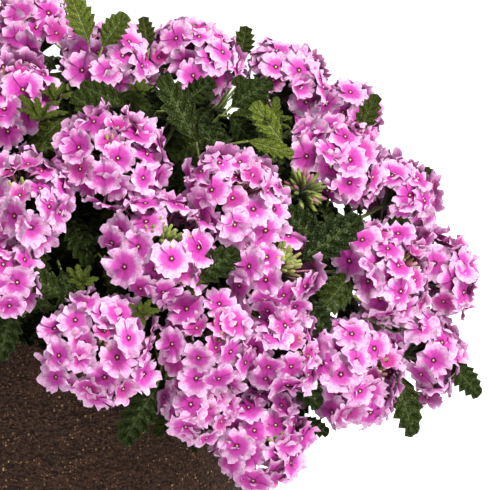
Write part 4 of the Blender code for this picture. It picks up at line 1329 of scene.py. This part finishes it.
class VERBENA_OT_soil(bpy.types.Operator):
    """Builds the soil"""

    bl_idname = "verbena.soil"
    bl_label = "Soil"

    def execute(self, context):
        make_soil(context.scene.verbena_planter)
        return {"FINISHED"}


class VERBENA_OT_stems(bpy.types.Operator):
    """Builds the shoots and the flower stalks"""

    bl_idname = "verbena.stems"
    bl_label = "Stems"

    def execute(self, context):
        make_stems(read_heads())
        return {"FINISHED"}


class VERBENA_OT_leaves(bpy.types.Operator):
    """Builds the leaves, one piece for each shoot, and the shaded inside of the plant"""

    bl_idname = "verbena.leaves"
    bl_label = "Leaves"

    def execute(self, context):
        make_leaves(read_heads(), context.scene.verbena_leaves)
        return {"FINISHED"}


class VERBENA_OT_heads(bpy.types.Operator):
    """Builds the petals, tubes and buds of every head"""

    bl_idname = "verbena.heads"
    bl_label = "Flower heads"

    def execute(self, context):
        settings = context.scene.verbena_flowers
        heads = read_heads()
        petals, buds = petal_material(settings), bud_material()
        for head in heads:
            rng = np.random.default_rng(SEED + 100 + head["number"])
            make_tubes(head, make_head(head, heads, rng, settings, petals), rng, buds)
        make_bud_head(np.random.default_rng(SEED + 7), buds)
        return {"FINISHED"}


class VERBENA_OT_stage(bpy.types.Operator):
    """Builds the floor, the lights and the camera"""

    bl_idname = "verbena.stage"
    bl_label = "Stage"

    def execute(self, context):
        make_stage(context.scene, context.scene.verbena_stage)
        return {"FINISHED"}


BUILD_ORDER = ("planter", "soil", "stems", "leaves", "heads", "stage")
GROUPS = {
    "verbena_flowers": VerbenaFlowers,
    "verbena_leaves": VerbenaLeaves,
    "verbena_planter": VerbenaPlanter,
    "verbena_stage": VerbenaStage,
}


class VERBENA_PT_parts(bpy.types.Panel):
    """Lists what can be built"""

    bl_label = "Verbena"
    bl_idname = "VERBENA_PT_parts"
    bl_space_type = "VIEW_3D"
    bl_region_type = "UI"
    bl_category = "Verbena"

    def draw(self, context):
        for name in BUILD_ORDER:
            self.layout.operator(f"verbena.{name}")
        for group in GROUPS:
            settings = getattr(context.scene, group)
            box = self.layout.box()
            for key in settings.bl_rna.properties.keys():
                if key not in ("rna_type", "name"):
                    box.prop(settings, key)


def add_thing(name, data, place, target):
    """A camera or a light at place, turned towards target."""
    thing = bpy.data.objects.new(name, data)
    bpy.context.scene.collection.objects.link(thing)
    thing.location = place
    thing.rotation_euler = (Vector(target) - Vector(place)).to_track_quat("-Z", "Y").to_euler()
    return thing


def add_area(name, place, size, power, colour):
    """A round light of that size and power, turned towards the plant."""
    light = bpy.data.lights.new(name, "AREA")
    light.shape = "DISK"
    light.size = size
    light.energy = power
    light.color = colour
    add_thing(name, light, place, (0.05, -0.05, 0.2))


def make_floor(colour):
    """A wide level floor, nearly white where the camera sees it."""
    material, r, shader = new_material("floor_pale", 0.85)
    shader.inputs["Base Color"].default_value = (*colour, 1.0)
    cloud = use_group(r, cloudy_variation, Scale=2.0, Low=0.2, High=0.8)
    r.link(r.smooth(cloud["Mask"], 0.0, 1.0, 0.82, 0.88), shader.inputs["Roughness"])
    shader.inputs["Emission Color"].default_value = (1.0, 1.0, 1.0, 1.0)
    seen = r.add("ShaderNodeLightPath").outputs["Is Camera Ray"]
    r.link(r.times(seen, 0.8), shader.inputs["Emission Strength"])
    mesh = bpy.data.meshes.new("floor")
    half = 14.0
    corners = [(half * x, half * y, 0) for x, y in ((-1, -1), (1, -1), (1, 1), (-1, 1))]
    mesh.from_pydata(corners, [], [(0, 1, 2, 3)])
    mesh.materials.append(material)
    floor = bpy.data.objects.new("floor", mesh)
    bpy.context.scene.collection.objects.link(floor)


def make_stage(scene, settings):
    """The floor, soft light from above and in front, a white surround, and the photograph's camera."""
    make_floor(settings.floor_colour)
    world = bpy.data.worlds.new("studio")
    scene.world = world
    world.use_nodes = True
    sky = Recipe(world.node_tree)
    seen = sky.add("ShaderNodeLightPath").outputs["Is Camera Ray"]
    background = world.node_tree.nodes["Background"]
    background.inputs[0].default_value = (1.0, 1.0, 1.0, 1.0)
    sky.link(sky.maths("MULTIPLY_ADD", seen, 1.05 - settings.ambient, settings.ambient), background.inputs[1])
    add_area("key", (0.85, -1.25, 1.75), 0.8, 50.0, (1.0, 0.99, 0.97))
    add_area("fill", (1.5, -1.3, 0.5), 1.4, 11.0, (1.0, 0.99, 0.98))
    add_area("back", (-0.8, 1.6, 1.5), 1.2, 24.0, (1.0, 0.99, 0.98))
    scene.view_settings.view_transform = "Standard"
    data = bpy.data.cameras.new("camera")
    data.lens = settings.lens
    data.sensor_width = 36.0
    aim = Vector(dome_point(92.5 * MM, 39.5 * MM).tolist())
    back = Vector((0.0, -TILT_COS, TILT_SIN)) * settings.camera_distance
    scene.camera = add_thing("camera", data, aim + back, aim)


CLASSES = (
    *GROUPS.values(),
    VERBENA_OT_planter,
    VERBENA_OT_soil,
    VERBENA_OT_stems,
    VERBENA_OT_leaves,
    VERBENA_OT_heads,
    VERBENA_OT_stage,
    VERBENA_PT_parts,
)


def register():
    """Registers the classes and hangs the settings on the scene."""
    for item in CLASSES:
        bpy.utils.register_class(item)
    for name, group in GROUPS.items():
        setattr(bpy.types.Scene, name, bpy.props.PointerProperty(type=group))


def unregister():
    """Undoes register."""
    for name in GROUPS:
        delattr(bpy.types.Scene, name)
    for item in reversed(CLASSES):
        bpy.utils.unregister_class(item)


def main():
    """Builds everything."""
    register()
    for build in BUILD_ORDER:
        getattr(bpy.ops.verbena, build)()


if __name__ == "__main__":
    main()
